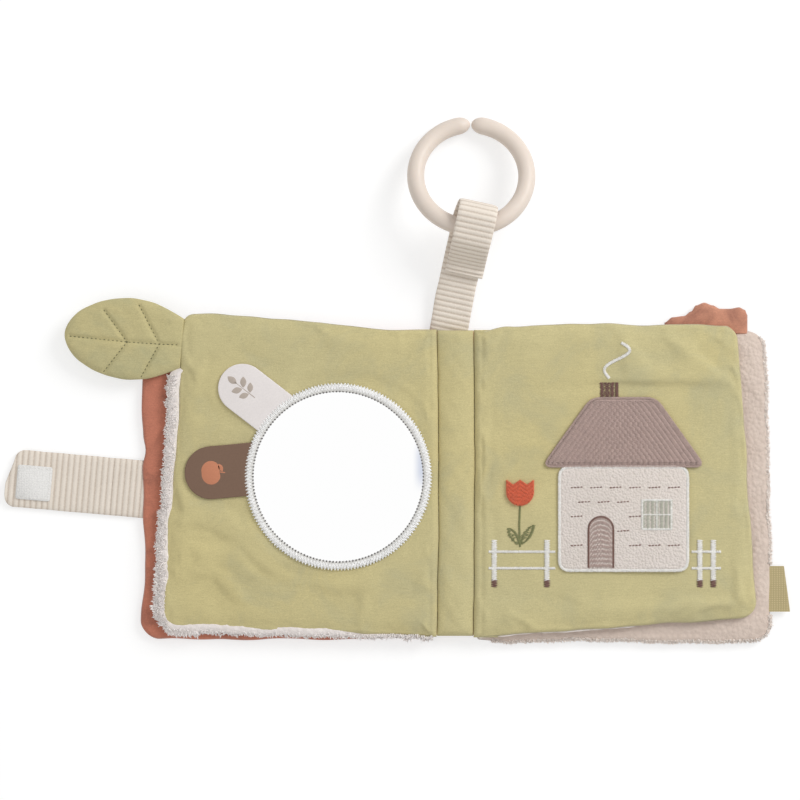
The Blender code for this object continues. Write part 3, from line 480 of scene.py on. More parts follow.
def plain(obj):
    """The evaluated object as a plain mesh, with its modifiers gone."""
    bpy.context.view_layer.update()
    ready = obj.evaluated_get(bpy.context.evaluated_depsgraph_get())
    mesh = bpy.data.meshes.new_from_object(ready)
    mesh.name = obj.name
    obj.modifiers.clear()
    obj.data = mesh
    return obj


def surface_of(obj):
    """What finds the height of a piece's surface."""
    bpy.context.view_layer.update()
    mesh = obj.data
    return BVHTree.FromPolygons([vertex.co.copy() for vertex in mesh.vertices],
                                [tuple(face.vertices) for face in mesh.polygons])


def laid_on(surface, flat, lift, up=1, fallback=PAGE_TOP):
    """Points laid on a surface from above or from below, and lifted off it a little, all in millimetres."""
    laid = []
    for x, y in flat:
        start = Vector((x * MM, y * MM, 0.1 * up))
        hit = surface.ray_cast(start, Vector((0.0, 0.0, -up)))[0]
        height = hit.z if hit is not None else fallback * MM
        laid.append(Vector((x * MM, y * MM, height + up * lift * MM)))
    return laid


def bent_at(made, first, last, middle, way, reach):
    """Bakes a piece's place into its mesh; it blends nothing, and the bodies, the bend and the reach in
    millimetres are not used.
    """
    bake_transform(made)


# Geometry Nodes trees for what repeats


def new_tree(name, fields):
    """A Geometry Nodes tree with named inputs."""
    tree = bpy.data.node_groups.new(name, "GeometryNodeTree")
    tree.interface.new_socket("Geometry", in_out="OUTPUT", socket_type="NodeSocketGeometry")
    for label, kind in (("Geometry", "Geometry"),) + fields:
        tree.interface.new_socket(label, in_out="INPUT", socket_type="NodeSocket" + kind)
    return tree, tree.nodes.new("NodeGroupInput").outputs


def random_between(tree, low, high, source, shift):
    """A random number for each instance."""
    seed = maths(tree, "ADD", source["Seed"], float(shift))
    node = linked(tree, "FunctionNodeRandomValue", {2: low, 3: high, "Seed": seed}, data_type="FLOAT")
    return node.outputs[1]


def scattered(tree, source, points, shape, aligned, angle, sizes, low, high):
    """Puts a shape on points, turned about its own Z and sized by chance, and makes the copies real."""
    turn = linked(tree, "FunctionNodeAxisAngleToRotation", {"Axis": (0.0, 0.0, 1.0), "Angle": angle})
    turned = linked(tree, "FunctionNodeRotateRotation", {
        "Rotation": aligned.outputs["Rotation"], "Rotate By": turn.outputs["Rotation"],
    }, rotation_space="LOCAL")
    size = linked(tree, "ShaderNodeCombineXYZ", {axis: source[field] for axis, field in zip("XYZ", sizes)})
    sized = linked(tree, "ShaderNodeVectorMath", {
        0: size.outputs[0], "Scale": random_between(tree, low, high, source, 2)}, operation="SCALE")
    placed = linked(tree, "GeometryNodeInstanceOnPoints", {
        "Points": points, "Instance": shape, "Rotation": turned.outputs["Rotation"],
        "Scale": sized.outputs[0]})
    real = linked(tree, "GeometryNodeRealizeInstances", {"Geometry": placed.outputs["Instances"]})
    soft = linked(tree, "GeometryNodeSetShadeSmooth", {0: real.outputs["Geometry"]})
    dressed = linked(tree, "GeometryNodeSetMaterial", {
        "Geometry": soft.outputs[0], "Material": source["Material"]})
    linked(tree, "NodeGroupOutput", {"Geometry": dressed.outputs["Geometry"]})


def stitch_tree():
    """A row of stitches along lines: each a small bead turned to the line, swaying from one to the next."""
    tree, source = new_tree("sewn_row", (
        ("Pitch", "Float"), ("Stitch length", "Float"), ("Stitch width", "Float"), ("Turn", "Float"),
        ("Sway", "Float"), ("Loose", "Float"), ("Seed", "Int"), ("Material", "Material")))
    line = linked(tree, "GeometryNodeMeshToCurve", {"Mesh": source["Geometry"]})
    even = linked(tree, "GeometryNodeResampleCurve", {
        "Curve": line.outputs["Curve"], "Length": source["Pitch"]}, mode="LENGTH")
    bead = linked(tree, "GeometryNodeMeshUVSphere", {"Segments": 6, "Rings": 4, "Radius": 0.5})
    along = linked(tree, "GeometryNodeInputTangent")
    aligned = linked(tree, "FunctionNodeAlignRotationToVector", {"Vector": along.outputs[0]}, axis="X",
                     pivot_axis="Z")
    index = linked(tree, "GeometryNodeInputIndex")
    sign = maths(tree, "MULTIPLY_ADD", maths(tree, "MODULO", index.outputs[0], 2.0), 2.0, -1.0)
    loose = maths(tree, "MULTIPLY", random_between(tree, -1.0, 1.0, source, 1), source["Loose"])
    angle = maths(tree, "ADD", maths(tree, "MULTIPLY_ADD", sign, source["Sway"], source["Turn"]), loose)
    scattered(tree, source, even.outputs["Curve"], bead.outputs["Mesh"], aligned, angle,
              ("Stitch length", "Stitch width", "Stitch width"), 0.92, 1.08)
    return tree


def tuft_tree():
    """Curled locks of pile on points, each leaning the way its point says."""
    tree, source = new_tree("pile_tufts", (
        ("Length", "Float"), ("Width", "Float"), ("Curl", "Float"), ("Seed", "Int"),
        ("Material", "Material")))
    lock = linked(tree, "GeometryNodeMeshCone", {
        "Vertices": 5, "Side Segments": 4, "Radius Top": 0.12, "Radius Bottom": 0.5, "Depth": 1.0})
    place = linked(tree, "GeometryNodeInputPosition")
    up = linked(tree, "ShaderNodeSeparateXYZ", {"Vector": place.outputs[0]}).outputs["Z"]
    curled = maths(tree, "MULTIPLY", maths(tree, "MULTIPLY", up, up), source["Curl"])
    shift = linked(tree, "ShaderNodeCombineXYZ", {"X": curled})
    bent = linked(tree, "GeometryNodeSetPosition", {
        "Geometry": lock.outputs["Mesh"], "Offset": shift.outputs[0]})
    way = linked(tree, "GeometryNodeInputNamedAttribute", {"Name": "lean"}, data_type="FLOAT_VECTOR")
    aligned = linked(tree, "FunctionNodeAlignRotationToVector", {"Vector": way.outputs[0]}, axis="Z")
    scattered(tree, source, source["Geometry"], bent.outputs["Geometry"], aligned,
              random_between(tree, 0.0, 2 * pi, source, 1), ("Width", "Width", "Length"), 0.6, 1.25)
    return tree


STITCHES = stitch_tree()
TUFTS = tuft_tree()


def grown(name, mesh, tree, values, body):
    """A piece that a tree makes from a mesh of points or lines."""
    made = in_scene(name, mesh)
    step = made.modifiers.new("made", "NODES")
    step.node_group = tree
    for item in tree.interface.items_tree:
        if item.in_out == "INPUT" and item.name in values:
            step[item.identifier] = values[item.name]
    plain(made)
    if not made.data.materials:
        made.data.materials.append(values["Material"])
    return settled(made, body)


def sewn(name, lines, material, body, pitch, length, width, turn, sway, loose, closed, seed):
    """Stitches along lines of points, in metres."""
    points, edges = [], []
    for line in lines:
        first = len(points)
        points += [tuple(point) for point in line]
        edges += [(i, i + 1) for i in range(first, len(points) - 1)]
        if closed:
            edges.append((len(points) - 1, first))
    mesh = bpy.data.meshes.new(name)
    mesh.from_pydata(points, edges, [])
    values = {"Pitch": pitch * MM, "Stitch length": length * MM, "Stitch width": width * MM, "Turn": turn,
              "Sway": sway, "Loose": loose, "Seed": seed, "Material": material}
    return grown(name, mesh, STITCHES, values, body)


def planted(name, points, leans, material, body, length, width, seed):
    """Tufts of pile on points, in metres."""
    mesh = bpy.data.meshes.new(name)
    mesh.from_pydata([tuple(point) for point in points], [], [])
    lean = mesh.attributes.new("lean", "FLOAT_VECTOR", "POINT")
    lean.data.foreach_set("vector", [value for way in leans for value in way])
    values = {"Length": length * MM, "Width": width * MM, "Curl": 0.9, "Seed": seed, "Material": material}
    return grown(name, mesh, TUFTS, values, body)


# Padded leaves


def side_wave(name, side, share, length, fleece=False):
    """How far a leaf's side stands out at a share of its length, in millimetres."""
    seed = LEAVES[name]["seed"] + len(side)
    fade = sin(pi * share) ** 0.5 if 0 < share < 1 else 0.0
    wave = EDGE_WAVE * steady(seed, share * length / 16.0) * fade * 2
    if fleece:
        wave += mixed(FLEECE_REACH[(name, side)], share) + 0.5 * steady(seed + 3, share * length / 5.0)
    return wave + mixed(BOWS.get((name, side), STRAIGHT), share)


def leaf_place(name, u, v, fleece=False):
    """A point of a leaf in millimetres: u runs from the root to the fore-edge, v from the bottom to the top.
    Also how far it is from the leaf's edge."""
    leaf = LEAVES[name]
    root_bottom = Vector((leaf["root"], leaf["root_bottom"]))
    root_top = Vector((leaf["root"], leaf["root_top"]))
    fore_bottom = Vector(leaf["fore_bottom"])
    fore_top = Vector(leaf["fore_top"])
    width = (fore_bottom.x + fore_top.x) / 2 - leaf["root"]
    height = root_top.y - root_bottom.y
    sides = [u * width, (1 - u) * width, v * height, (1 - v) * height]
    edge = min(sides)
    upper = TIGHT_CORNER if "page" in name else FORE_CORNER
    for i, j, radius in ((0, 2, ROOT_CORNER), (0, 3, ROOT_CORNER), (1, 2, FORE_CORNER), (1, 3, upper)):
        if sides[i] < radius and sides[j] < radius:
            p = 1 - sides[i] / radius
            q = 1 - sides[j] / radius
            round_p = p * sqrt(1 - q * q / 2)
            round_q = q * sqrt(1 - p * p / 2)
            sides[i] = radius * (1 - round_p)
            sides[j] = radius * (1 - round_q)
            edge = radius * (1 - min(1.0, hypot(round_p, round_q)))
            u = sides[0] / width if i == 0 else 1 - sides[1] / width
            v = sides[2] / height if j == 2 else 1 - sides[3] / height
    bottom = root_bottom.lerp(fore_bottom, u) - Vector((0.0, side_wave(name, "bottom", u, width, fleece)))
    top = root_top.lerp(fore_top, u) + Vector((0.0, side_wave(name, "top", u, width, fleece)))
    root = root_bottom.lerp(root_top, v)
    fore = fore_bottom.lerp(fore_top, v) + Vector((side_wave(name, "fore", v, height, fleece), 0.0))
    ends = root_bottom.lerp(fore_bottom, u).lerp(root_top.lerp(fore_top, u), v)
    place = bottom.lerp(top, v) + root.lerp(fore, u) - ends
    root_near = sides[0] / 0.45
    return place.x * leaf["side"], place.y, min(edge if sides[0] > edge else root_near, root_near)


def spread(count, crowd=0.45):
    """Shares from 0 to 1 that crowd towards both ends."""
    shares = []
    for i in range(count):
        share = i / (count - 1)
        shares.append((1 - crowd) * share + crowd * (0.5 - 0.5 * cos(pi * share)))
    return shares


# Room for the flaps on the left page: middle and radius of each round, in millimetres
FLAP_ROOM = ((-105.0, 48.0, 12.8), (-98.0, 42.0, 13.0), (-118.3, 6.0, 13.6), (-109.0, 6.4, 13.6),
             (-101.5, 6.8, 13.6))


def trim_room(name, x, y):
    """From 0 on what is sewn to a page, to 1 well clear of it: the page lies flat under its trim."""
    if name == "left_page":
        away = hypot(x - MIRROR_X, y - MIRROR_Y) - BORDER_EDGE - 0.5
        for flap_x, flap_y, radius in FLAP_ROOM:
            away = min(away, hypot(x - flap_x, y - flap_y) - radius)
        return smooth(away / 9.0)
    if name == "right_page":
        beside = max(20.0 - x, x - 130.0, -52.0 - y, y - 43.0)
        return smooth(beside / 9.0)
    return 0.0


# Soft creases round the mirror: radius, first and last angle in degrees, depth and width in millimetres
CREASES = ((50.5, 196, 262, 0.42, 1.7), (57.5, 214, 258, 0.34, 1.9), (49.8, 28, 80, 0.36, 1.6),
           (55.0, 40, 66, 0.24, 1.8), (51.0, 286, 322, 0.30, 1.7))


def crease(x, y):
    """How far the creases round the mirror lower a point, in millimetres."""
    away = hypot(x - MIRROR_X, y - MIRROR_Y)
    angle = atan2(y - MIRROR_Y, x - MIRROR_X) * 180 / pi % 360
    drop = 0.0
    for radius, first, last, depth, width in CREASES:
        share = (angle - first) / (last - first)
        if 0.0 < share < 1.0:
            beside = away - radius - 1.5 * sin(share * 4.0)
            drop -= depth * sin(pi * share) * exp(-(beside / width) ** 2)
    return drop


def leaf_rise(name, x, y, edge, up):
    """Height over the seam of a leaf's face, in millimetres."""
    leaf = LEAVES[name]
    roll = 7.0 if "page" in name else 8.0
    full = leaf["rise"] * domed(edge / roll)
    seed = leaf["seed"] + (0.0 if up > 0 else 11.0)
    inside = smooth(edge / 10.0)
    pucker = exp(-((edge - 3.5) / 3.2) ** 2) * 0.30 * steady(seed + 2, x / 3.6, y / 3.6)
    if up < 0 and "cover" in name:
        return full * (1 - 0.05 * abs(steady(seed, x / 20, y / 20))) - abs(pucker) * 0.5
    if up < 0:
        return full - 0.1 + pucker * 0.4
    room = trim_room(name, x, y)
    if "page" in name:
        if name == "left_page":
            full += crease(x, y)
        swell = 0.75 + 0.75 * steady(seed + 5, x / 34, y / 30) + 0.35 * steady(seed + 6, x / 13, y / 11)
        return full - 0.05 + pucker + max(0.0, swell) * inside * room
    return full - 0.05 + pucker * 0.6


LEAF_STEPS = 100
CLOTH_STEPS = 44
CLOTH_FRAMES = 14


def swelling(name, up):
    """How sewn cloth swells and puckers on a leaf: a loose skin held at its seams and blown up a little.
    Gives the movement at each point of a coarse grid, in millimetres."""
    shares = spread(CLOTH_STEPS)
    start = []
    for v in shares:
        for u in shares:
            x, y, edge = leaf_place(name, u, v)
            start.append(Vector((x, y, leaf_rise(name, x, y, edge, up))) * MM)
    skin = new_mesh("loose_skin", start, grid_faces(CLOTH_STEPS, CLOTH_STEPS))
    held = skin.vertex_groups.new(name="held")
    for i in range(CLOTH_STEPS):
        for j in range(CLOTH_STEPS):
            if i in (0, CLOTH_STEPS - 1) or j in (0, CLOTH_STEPS - 1):
                held.add([i * CLOTH_STEPS + j], 1.0, "REPLACE")
    before = [vertex.co.copy() for vertex in skin.data.vertices]
    cloth = skin.modifiers.new("cloth", "CLOTH")
    settings = cloth.settings
    settings.quality = 4
    settings.mass = 0.2
    settings.tension_stiffness = settings.compression_stiffness = 10.0
    settings.shear_stiffness = 4.0
    settings.bending_stiffness = 0.04
    settings.shrink_min = -0.045
    settings.use_pressure = True
    settings.uniform_pressure_force = 0.8
    settings.vertex_group_mass = "held"
    settings.effector_weights.gravity = 0.0
    cloth.collision_settings.use_collision = False
    scene = bpy.context.scene
    scene.frame_start = 1
    scene.frame_end = CLOTH_FRAMES
    for step in range(1, CLOTH_FRAMES + 1):
        scene.frame_set(step)
    plain(skin)
    scene.frame_set(1)
    moved = [(vertex.co - place) / MM for vertex, place in zip(skin.data.vertices, before)]
    bpy.data.objects.remove(skin, do_unlink=True)
    return moved


def read_between(grid, u, v):
    """The coarse grid's movement at a point of the leaf."""
    shares = spread(CLOTH_STEPS)
    found = []
    for share in (u, v):
        low = max(i for i in range(CLOTH_STEPS - 1) if shares[i] <= share + 1e-9)
        found.append((low, (share - shares[low]) / (shares[low + 1] - shares[low])))
    (i, a), (j, b) = found
    first = grid[j * CLOTH_STEPS + i].lerp(grid[j * CLOTH_STEPS + i + 1], a)
    last = grid[(j + 1) * CLOTH_STEPS + i].lerp(grid[(j + 1) * CLOTH_STEPS + i + 1], a)
    return first.lerp(last, b)


def softened(grid, count):
    """A grid of movements averaged with its neighbours."""
    made = list(grid)
    for i in range(1, count - 1):
        for j in range(1, count - 1):
            k = i * count + j
            near = grid[k - 1] + grid[k + 1] + grid[k - count] + grid[k + count]
            made[k] = grid[k] * 0.5 + near * 0.125
    return made


FULL_PAGE = 3.0
PAGE_SLACK = 0.5


def held_down(height):
    """A leaf's height, eased towards the most that still closes on the picture and the mirror's border."""
    return height if height < FULL_PAGE else FULL_PAGE + PAGE_SLACK * tanh((height - FULL_PAGE) / PAGE_SLACK)


def roll_share(name, u, v):
    """How much of the fleece's roll shows at a point: none where the fleece stays under the page."""
    width, height = 136.0, 148.0
    ways = (((1 - u) * width, "fore", v), (v * height, "bottom", u), ((1 - v) * height, "top", u),
            (u * width, None, 0.0))
    _, side, share = min(ways, key=lambda way: way[0])
    return smooth((mixed(FLEECE_REACH[(name, side)], share) - 0.4) / 2.0) if side else 0.0


def leaf_skin(name, part, up, material, replaced, fleece=False, loose=True):
    """One face of a leaf: its padded skin from edge to edge, closed along the seam. It stands for some of the
    leaf's solids."""
    leaf = LEAVES[name]
    seam = leaf["seam"] + 0.12 * up
    shares = spread(LEAF_STEPS)
    count = LEAF_STEPS
    moved = [Vector((0.0, 0.0, 0.0))] * (count * count)
    if loose:
        coarse = swelling(name, up)
        moved = [read_between(coarse, u, v) for v in shares for u in shares]
        for _ in range(2):
            moved = softened(moved, count)
    points, closing = [], []
    for row, v in enumerate(shares):
        for column, u in enumerate(shares):
            x, y, edge = leaf_place(name, u, v, fleece)
            height = leaf_rise(name, x, y, edge, up)
            swell = moved[row * count + column]
            high = smooth(height / leaf["rise"])
            free = 0.12 + 0.88 * trim_room(name, x, y) if up > 0 and "page" in name else 0.25
            gain = (swell.z - 0.5) * free * high
            gain = max(-0.6, min(1.2 if up > 0 and "page" in name else 0.0, gain))
            if fleece:
                height += 0.22 * steady(3.0, x / 1.3, y / 1.3) * smooth(edge / 2.0)
            x += max(-0.8, min(0.8, swell.x)) * 0.6
            y += max(-0.8, min(0.8, swell.y)) * 0.6
            points.append(Vector((x, y, seam + up * held_down(height + gain))) * MM)
            if fleece:
                roll = 1.5 * sin(pi * min(1.0, edge / 6.5)) - (0.15 if edge > 5.0 else 0.0)
                if edge < 5.5:
                    roll += 0.25 * steady(5.0, x / 1.4, y / 1.4) * smooth(edge / 1.5)
                closing.append(Vector((x, y, seam + roll * roll_share(name, u, v) - 0.1)) * MM)
    faces = grid_faces(count, count, 0, up < 0)
    if fleece:
        faces += grid_faces(count, count, count * count, up > 0)
    else:
        rim = list(range(count))
        rim += [count * i + count - 1 for i in range(1, count)]
        rim += [count * (count - 1) + i for i in range(count - 2, -1, -1)]
        rim += [count * i for i in range(count - 2, 0, -1)]
        faces.append(tuple(rim[::-1] if up > 0 else rim))
    made = new_piece(name + "_" + part, points + closing, faces, material, name)
    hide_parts(*[name + "_" + solid for solid in replaced])
    return made


def edge_band(name, side, start, end, count, seed, deep, fleece):
    """Points in a band along one side of a leaf, in millimetres, each with the way outwards and its depth."""
    random = Random(seed)
    band = []
    for i in range(count):
        share = start + (end - start) * (i + random.uniform(0.1, 0.9)) / count
        back = random.uniform(0.0, 1.0) ** 1.4 * deep
        u, v = {"fore": (1.0, share), "bottom": (share, 0.0), "top": (share, 1.0)}[side]
        if fleece:
            back -= 2.2 * max(0.0, steady(seed + 5.0, share * 46.0)) * exp(-back)
        x, y, _ = leaf_place(name, u, v, fleece)
        inner_u = u - 0.03 if side == "fore" else u
        inner_v = v + {"bottom": 0.03, "top": -0.03}.get(side, 0.0)
        inner_x, inner_y, _ = leaf_place(name, inner_u, inner_v, fleece)
        out = Vector((x - inner_x, y - inner_y)).normalized()
        band.append((x - out.x * back, y - out.y * back, out, back))
    return band


def fringe(name, part, material, sides, length, width, level, roll, seed, fleece=True):
    """Pile that stands out past a leaf's edge."""
    random = Random(seed)
    points, leans = [], []
    for side, start, end, count, deep in sides:
        for x, y, out, back in edge_band(name, side, start, end, count, seed + len(side), deep, fleece):
            height = level + roll * sin(pi * min(1.0, back / 6.5)) + random.uniform(-0.5, 0.1)
            points.append(Vector((x, y, height)) * MM)
            along = random.uniform(-0.9, 0.9)
            rise = random.uniform(-0.3, 0.35) + 0.25 * back
            leans.append(Vector((out.x - out.y * along, out.y + out.x * along, rise)))
    return planted(name + "_" + part, points, leans, material, name, length, width, seed)


left_top = leaf_skin("left_page", "velour", 1, GREEN, ("front", "wadding", "crinkle_film"))
leaf_skin("left_page", "fleece", -1, FLEECE, ("back",), True)
right_top = leaf_skin("right_page", "velour", 1, GREEN, ("front", "wadding", "crinkle_film"))
leaf_skin("right_page", "fleece", -1, FLEECE, ("back",), True)
for cover, cloth, material in (("front_cover", "velour", TERRACOTTA), ("back_cover", "plush", PLUSH)):
    leaf_skin(cover, "lining_" + cloth, 1, material, ("lining", "wadding", "crinkle_film"))
    leaf_skin(cover, "outside_" + cloth, -1, material, ("outside",), False, False)

LEFT_FACE = surface_of(left_top)
RIGHT_FACE = surface_of(right_top)

# Pile that shows past the leaves' edges
fringe("left_page", "fleece_fringe", FLEECE_PILE,
       (("fore", 0.0, 0.81, 2400, 4.6), ("bottom", 0.0, 1.0, 1100, 1.8)), 1.25, 0.90, 6.9, 1.3, 21)
fringe("left_page", "fleece_corner", FLEECE_PILE,
       (("fore", 0.0, 0.2, 170, 1.0), ("bottom", 0.86, 1.0, 150, 0.8)), 2.4, 1.2, 6.7, 0.9, 22)
fringe("back_cover", "plush_fringe", PLUSH_PILE,
       (("fore", 0.0, 0.08, 110, 1.3), ("fore", 0.245, 0.99, 1100, 1.3), ("bottom", 0.05, 1.0, 1300, 1.3)),
       1.15, 1.0, 3.0, 1.2, 24, False)


# Spine

SPINE_LOW = -74.0
SPINE_LENGTH = 148.2
SPINE_ROUND_SHARE = 3.0 / 148.0


def wander(side, y):
    """How far the groove beside the spine strays outwards, in millimetres."""
    bow = (y / 74) ** 2
    reach = 0.9 * bow if side < 0 else 0.2 + 0.6 * (1 - bow)
    return reach + 0.3 * steady(13.0 + side, y / 20) + 0.16 * steady(15.0 + side, y / 8)


def spine_cushion(name, half, low, high, crown, material, replaced, inner):
    """A soft strip along the spine, with a crowned face; the inner one is waved and gets a mesh of its own.
    """
    across, along = 25, 90
    waves = 1.0 if inner else 0.0
    edge = low + (high - low) * 0.52 * waves
    points, backs = [], []
    for i in range(along):
        share = i / (along - 1)
        y = SPINE_LOW + SPINE_LENGTH * share
        end = domed(min(share, 1 - share) / SPINE_ROUND_SHARE)
        for j in range(across):
            t = -1 + 2 * j / (across - 1)
            x = half * t + waves * wander(1 if t > 0 else -1, y) * t * abs(t)
            rise = (1 - abs(t) ** 2.2) ** 0.7 * end if abs(t) < 1 else 0.0
            height = edge + (high - edge) * rise
            soft = 0.40 * steady(2.2, x / 7, y / 16) + 0.42 * steady(3.3, (x + y / 2) / 5, y / 11)
            height += waves * soft * rise
            points.append(Vector((x, y, height)) * MM)
            backs.append(Vector((x, y, low - crown * (1 - t * t))) * MM)
    made = new_piece(name, points + backs, two_sheets(along, across, high < low), material, "spine")
    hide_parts(replaced)
    if inner:
        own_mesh(made)


spine_cushion("spine_velour", 8.22, 4.8, 9.0, 1.0, GREEN, "spine_inner_strip", True)
spine_cushion("spine_outside_velour", 9.9, 2.6, 0.15, -0.1, TERRACOTTA, "spine_outer_strip", False)


# Sewn webs that join the leaves to the spine

# Where the web runs, from the page inwards and down: how far from the spine's middle and how high, in
# millimetres. Where it lies on the page it has a small lift off it instead of a height.
WEB_ON_PAGE = ((20.5, -0.30), (19.0, -0.10), (17.5, -0.06), (16.0, -0.03), (14.8, 0.0), (13.7, 0.025),
               (12.7, 0.05))
WEB_DOWN = ((12.0, 9.29), (11.5, 9.28), (11.1, 9.22), (10.6, 9.06), (10.1, 8.82), (9.6, 8.48), (9.2, 8.10),
            (8.85, 7.66), (8.6, 7.2), (8.46, 6.8), (8.44, 6.4), (8.56, 5.8), (8.72, 5.1), (8.9, 4.5))
WEB_THICK = 0.32


def web(side, face, low, high):
    """The velour that runs on from a page's root, over its edge and down to the cover, beside the spine."""
    page, cover = ("left_page", "front_cover") if side < 0 else ("right_page", "back_cover")
    along = 200
    columns = len(WEB_ON_PAGE) + len(WEB_DOWN)
    outer = []
    for i in range(along):
        y = low + (high - low) * i / (along - 1)
        round_off = domed(min(y - low, high - y) / 2.4)
        above = 0.0
        for j, (x, z) in enumerate(WEB_ON_PAGE + WEB_DOWN):
            place = Vector((side * (x + wander(side, y) * smooth((13.0 - x) / 3.0)), y, 0.0))
            if j < len(WEB_ON_PAGE):
                place.z = laid_on(face, [(place.x, y)], z)[0].z / MM
                above = place.z - PAGE_TOP
            else:
                soft = 0.10 * steady(7.0 + side, y / 5.5, x / 3) + 0.07 * steady(9.0, y / 2.4, x / 2)
                place.z = z + soft * smooth((z - 7.0) / 1.5) + above * smooth((x - 8.6) / 3.6)
            if place.z > PAGE_SEAM:
                place.z = PAGE_SEAM + (place.z - PAGE_SEAM) * round_off
            outer.append(place)
    points = [place * MM for place in outer]
    for i, place in enumerate(outer):
        column = i % columns
        before = outer[i - 1] if column else place
        after = outer[i + 1] if column < columns - 1 else place
        way = Vector((after.x - before.x, after.z - before.z)).normalized()
        thick = WEB_THICK * smooth((column + 0.4) / 4.5)
        points.append((place + Vector((-way.y, 0.0, way.x)) * side * thick) * MM)
    made = new_piece(page + "_hinge_web", points, two_sheets(along, columns, side > 0), GREEN)
    if side < 0:
        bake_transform(made)
    else:
        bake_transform(made)


web(-1, LEFT_FACE, -74.4, 74.6)
web(1, RIGHT_FACE, -74.7, 74.4)


# Outlines and low patches


def offset(points, distance):
    """A closed outline, in millimetres, moved inwards; it runs anticlockwise."""
    moved = []
    count = len(points)
    for i, (x, y) in enumerate(points):
        ax, ay = points[i - 1]
        bx, by = points[(i + 1) % count]
        way = Vector((bx - ax, by - ay)).normalized()
        moved.append((x - way.y * distance, y + way.x * distance))
    return moved


def along_line(points, step=0.5, closed=False):
    """A line of points in millimetres, refined."""
    fine = []
    ends = points + [points[0]] if closed else points
    for (ax, ay), (bx, by) in zip(ends, ends[1:]):
        count = max(1, int(hypot(bx - ax, by - ay) / step))
        fine += [(ax + (bx - ax) * k / count, ay + (by - ay) * k / count) for k in range(count)]
    if not closed:
        fine.append(points[-1])
    return fine


def at_height(points, height):
    """Flat points at a height, in millimetres, as places in metres."""
    return [Vector((x, y, height)) * MM for x, y in points]


def patch(name, outline, low, levels, material, body, place=None, replaced=()):
    """A low closed pad: each level is how far the outline is drawn in and its height, in millimetres."""
    if sum(a[0] * b[1] - b[0] * a[1] for a, b in zip(outline, outline[1:] + outline[:1])) < 0:
        outline = outline[::-1]
    rings = [(levels[0][0], low)] + [(inset, low + height) for inset, height in levels]
    points = [point for inset, height in rings for point in at_height(offset(outline, inset), height)]
    if place is not None:
        points = [place @ point for point in points]
    made = new_piece(name, points, tube_faces(len(rings), len(outline)), material, body)
    made.data.set_sharp_from_angle(angle=radians(50.0))
    if replaced:
        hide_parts(*replaced)
    return made


def arc(x, y, radius, start, end, steps):
    """Points on an arc, in millimetres and degrees."""
    return [(x + radius * cos(radians(start + (end - start) * i / steps)),
             y + radius * sin(radians(start + (end - start) * i / steps))) for i in range(steps + 1)]


def rounded(corners, radius, steps=5):
    """A closed outline with round corners, in millimetres."""
    outline = []
    count = len(corners)
    for i in range(count):
        corner = Vector(corners[i])
        before = (Vector(corners[i - 1]) - corner)
        after = (Vector(corners[(i + 1) % count]) - corner)
        first = corner + before.normalized() * min(radius, before.length * 0.45)
        last = corner + after.normalized() * min(radius, after.length * 0.45)
        for step in range(steps + 1):
            share = step / steps
            point = first.lerp(corner, share).lerp(corner.lerp(last, share), share)
            outline.append((point.x, point.y))
    return outline


def frame_at(origin, along, up=Vector((0.0, 0.0, 1.0))):
    """A matrix whose X runs along a piece, Y across it and Z out of its face."""
    forward = along.normalized()
    across = up.cross(forward).normalized()
    turn = Matrix((forward, across, forward.cross(across))).transposed().to_4x4()
    return Matrix.Translation(origin) @ turn


# Mirror with its sewn border

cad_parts["mirror_film"].material_slots[0].material = MIRROR


def round_points(radius, steps, height=0.0, shift=0.0):
    """Points on a circle about the mirror's middle, in metres, from a shift along it in millimetres."""
    start = shift / radius
    return [Vector((MIRROR_X + radius * cos(start + 2 * pi * i / steps),
                    MIRROR_Y + radius * sin(start + 2 * pi * i / steps), height)) * MM for i in range(steps)]


def mirror_border():
    """The padded ring that holds the mirror: domed, with a lip over the film's edge."""
    section = ((44.3, 9.25), (44.75, 9.6), (44.7, 10.1), (44.2, 10.45), (43.2, 10.62), (42.2, 10.62),
               (41.4, 10.5), (41.0, 10.34), (41.0, 10.3), (42.9, 10.3), (42.9, 9.25))
    steps = 200
    points = [point for radius, height in section for point in round_points(radius, steps, height)]
    # The band's grey is painted shade that shows between the stitches.
    made = new_piece("mirror_border_band", points, tube_faces(len(section), steps, True), BORDER_GAP_SHADE,
                     "left_page")
    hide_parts("mirror_border")


ZIGZAG = 1.6


def border_stitches(part, material, radius, height, shift, length, width, angle, sway, loose, seed):
    """Stitches round the border, in millimetres; their angle and sway are in degrees."""
    sewn("mirror_" + part, [round_points(radius, 720, height, shift)], material, "left_page", ZIGZAG, length,
         width, radians(angle), radians(sway), loose, True, seed)


mirror_border()
border_stitches("border_zigzag_out", BORDER_THREAD, 43.3, 10.45, 0.0, 3.5, 0.86, 102.0, 1.5, 0.04, 3)
border_stitches("border_zigzag_back", BORDER_THREAD, 43.3, 10.45, ZIGZAG / 2, 3.5, 0.86, 78.0, 1.5, 0.04, 3)
border_stitches("border_teeth", BORDER_THREAD, 44.7, 10.20, 0.0, 1.7, 0.85, 90.0, 10.0, 0.06, 4)
# Dark beads of painted shade in the needle holes.
border_stitches("needle_holes", HOLE_SHADE, 41.2, 10.50, 0.0, 0.95, 0.80, 90.0, 6.0, 0.05, 5)


# Flaps beside the mirror

MIRROR_MIDDLE = Vector((MIRROR_X, MIRROR_Y, 0.0)) * MM
FLAP_PLACES = {"white_flap": frame_at(MIRROR_MIDDLE, heading(142.3)),
               "brown_flap": frame_at(MIRROR_MIDDLE, heading(185.2))}
FLAP_LEVELS = ((0.22, 0.0), (0.0, 0.2), (0.0, 0.68), (0.18, 0.86), (0.5, 0.9))
FLAP_ROOT = 43.9
PRINT_LEVELS = ((0.0, 0.03), (0.05, 0.05))
FLAP_FACE = 10.47


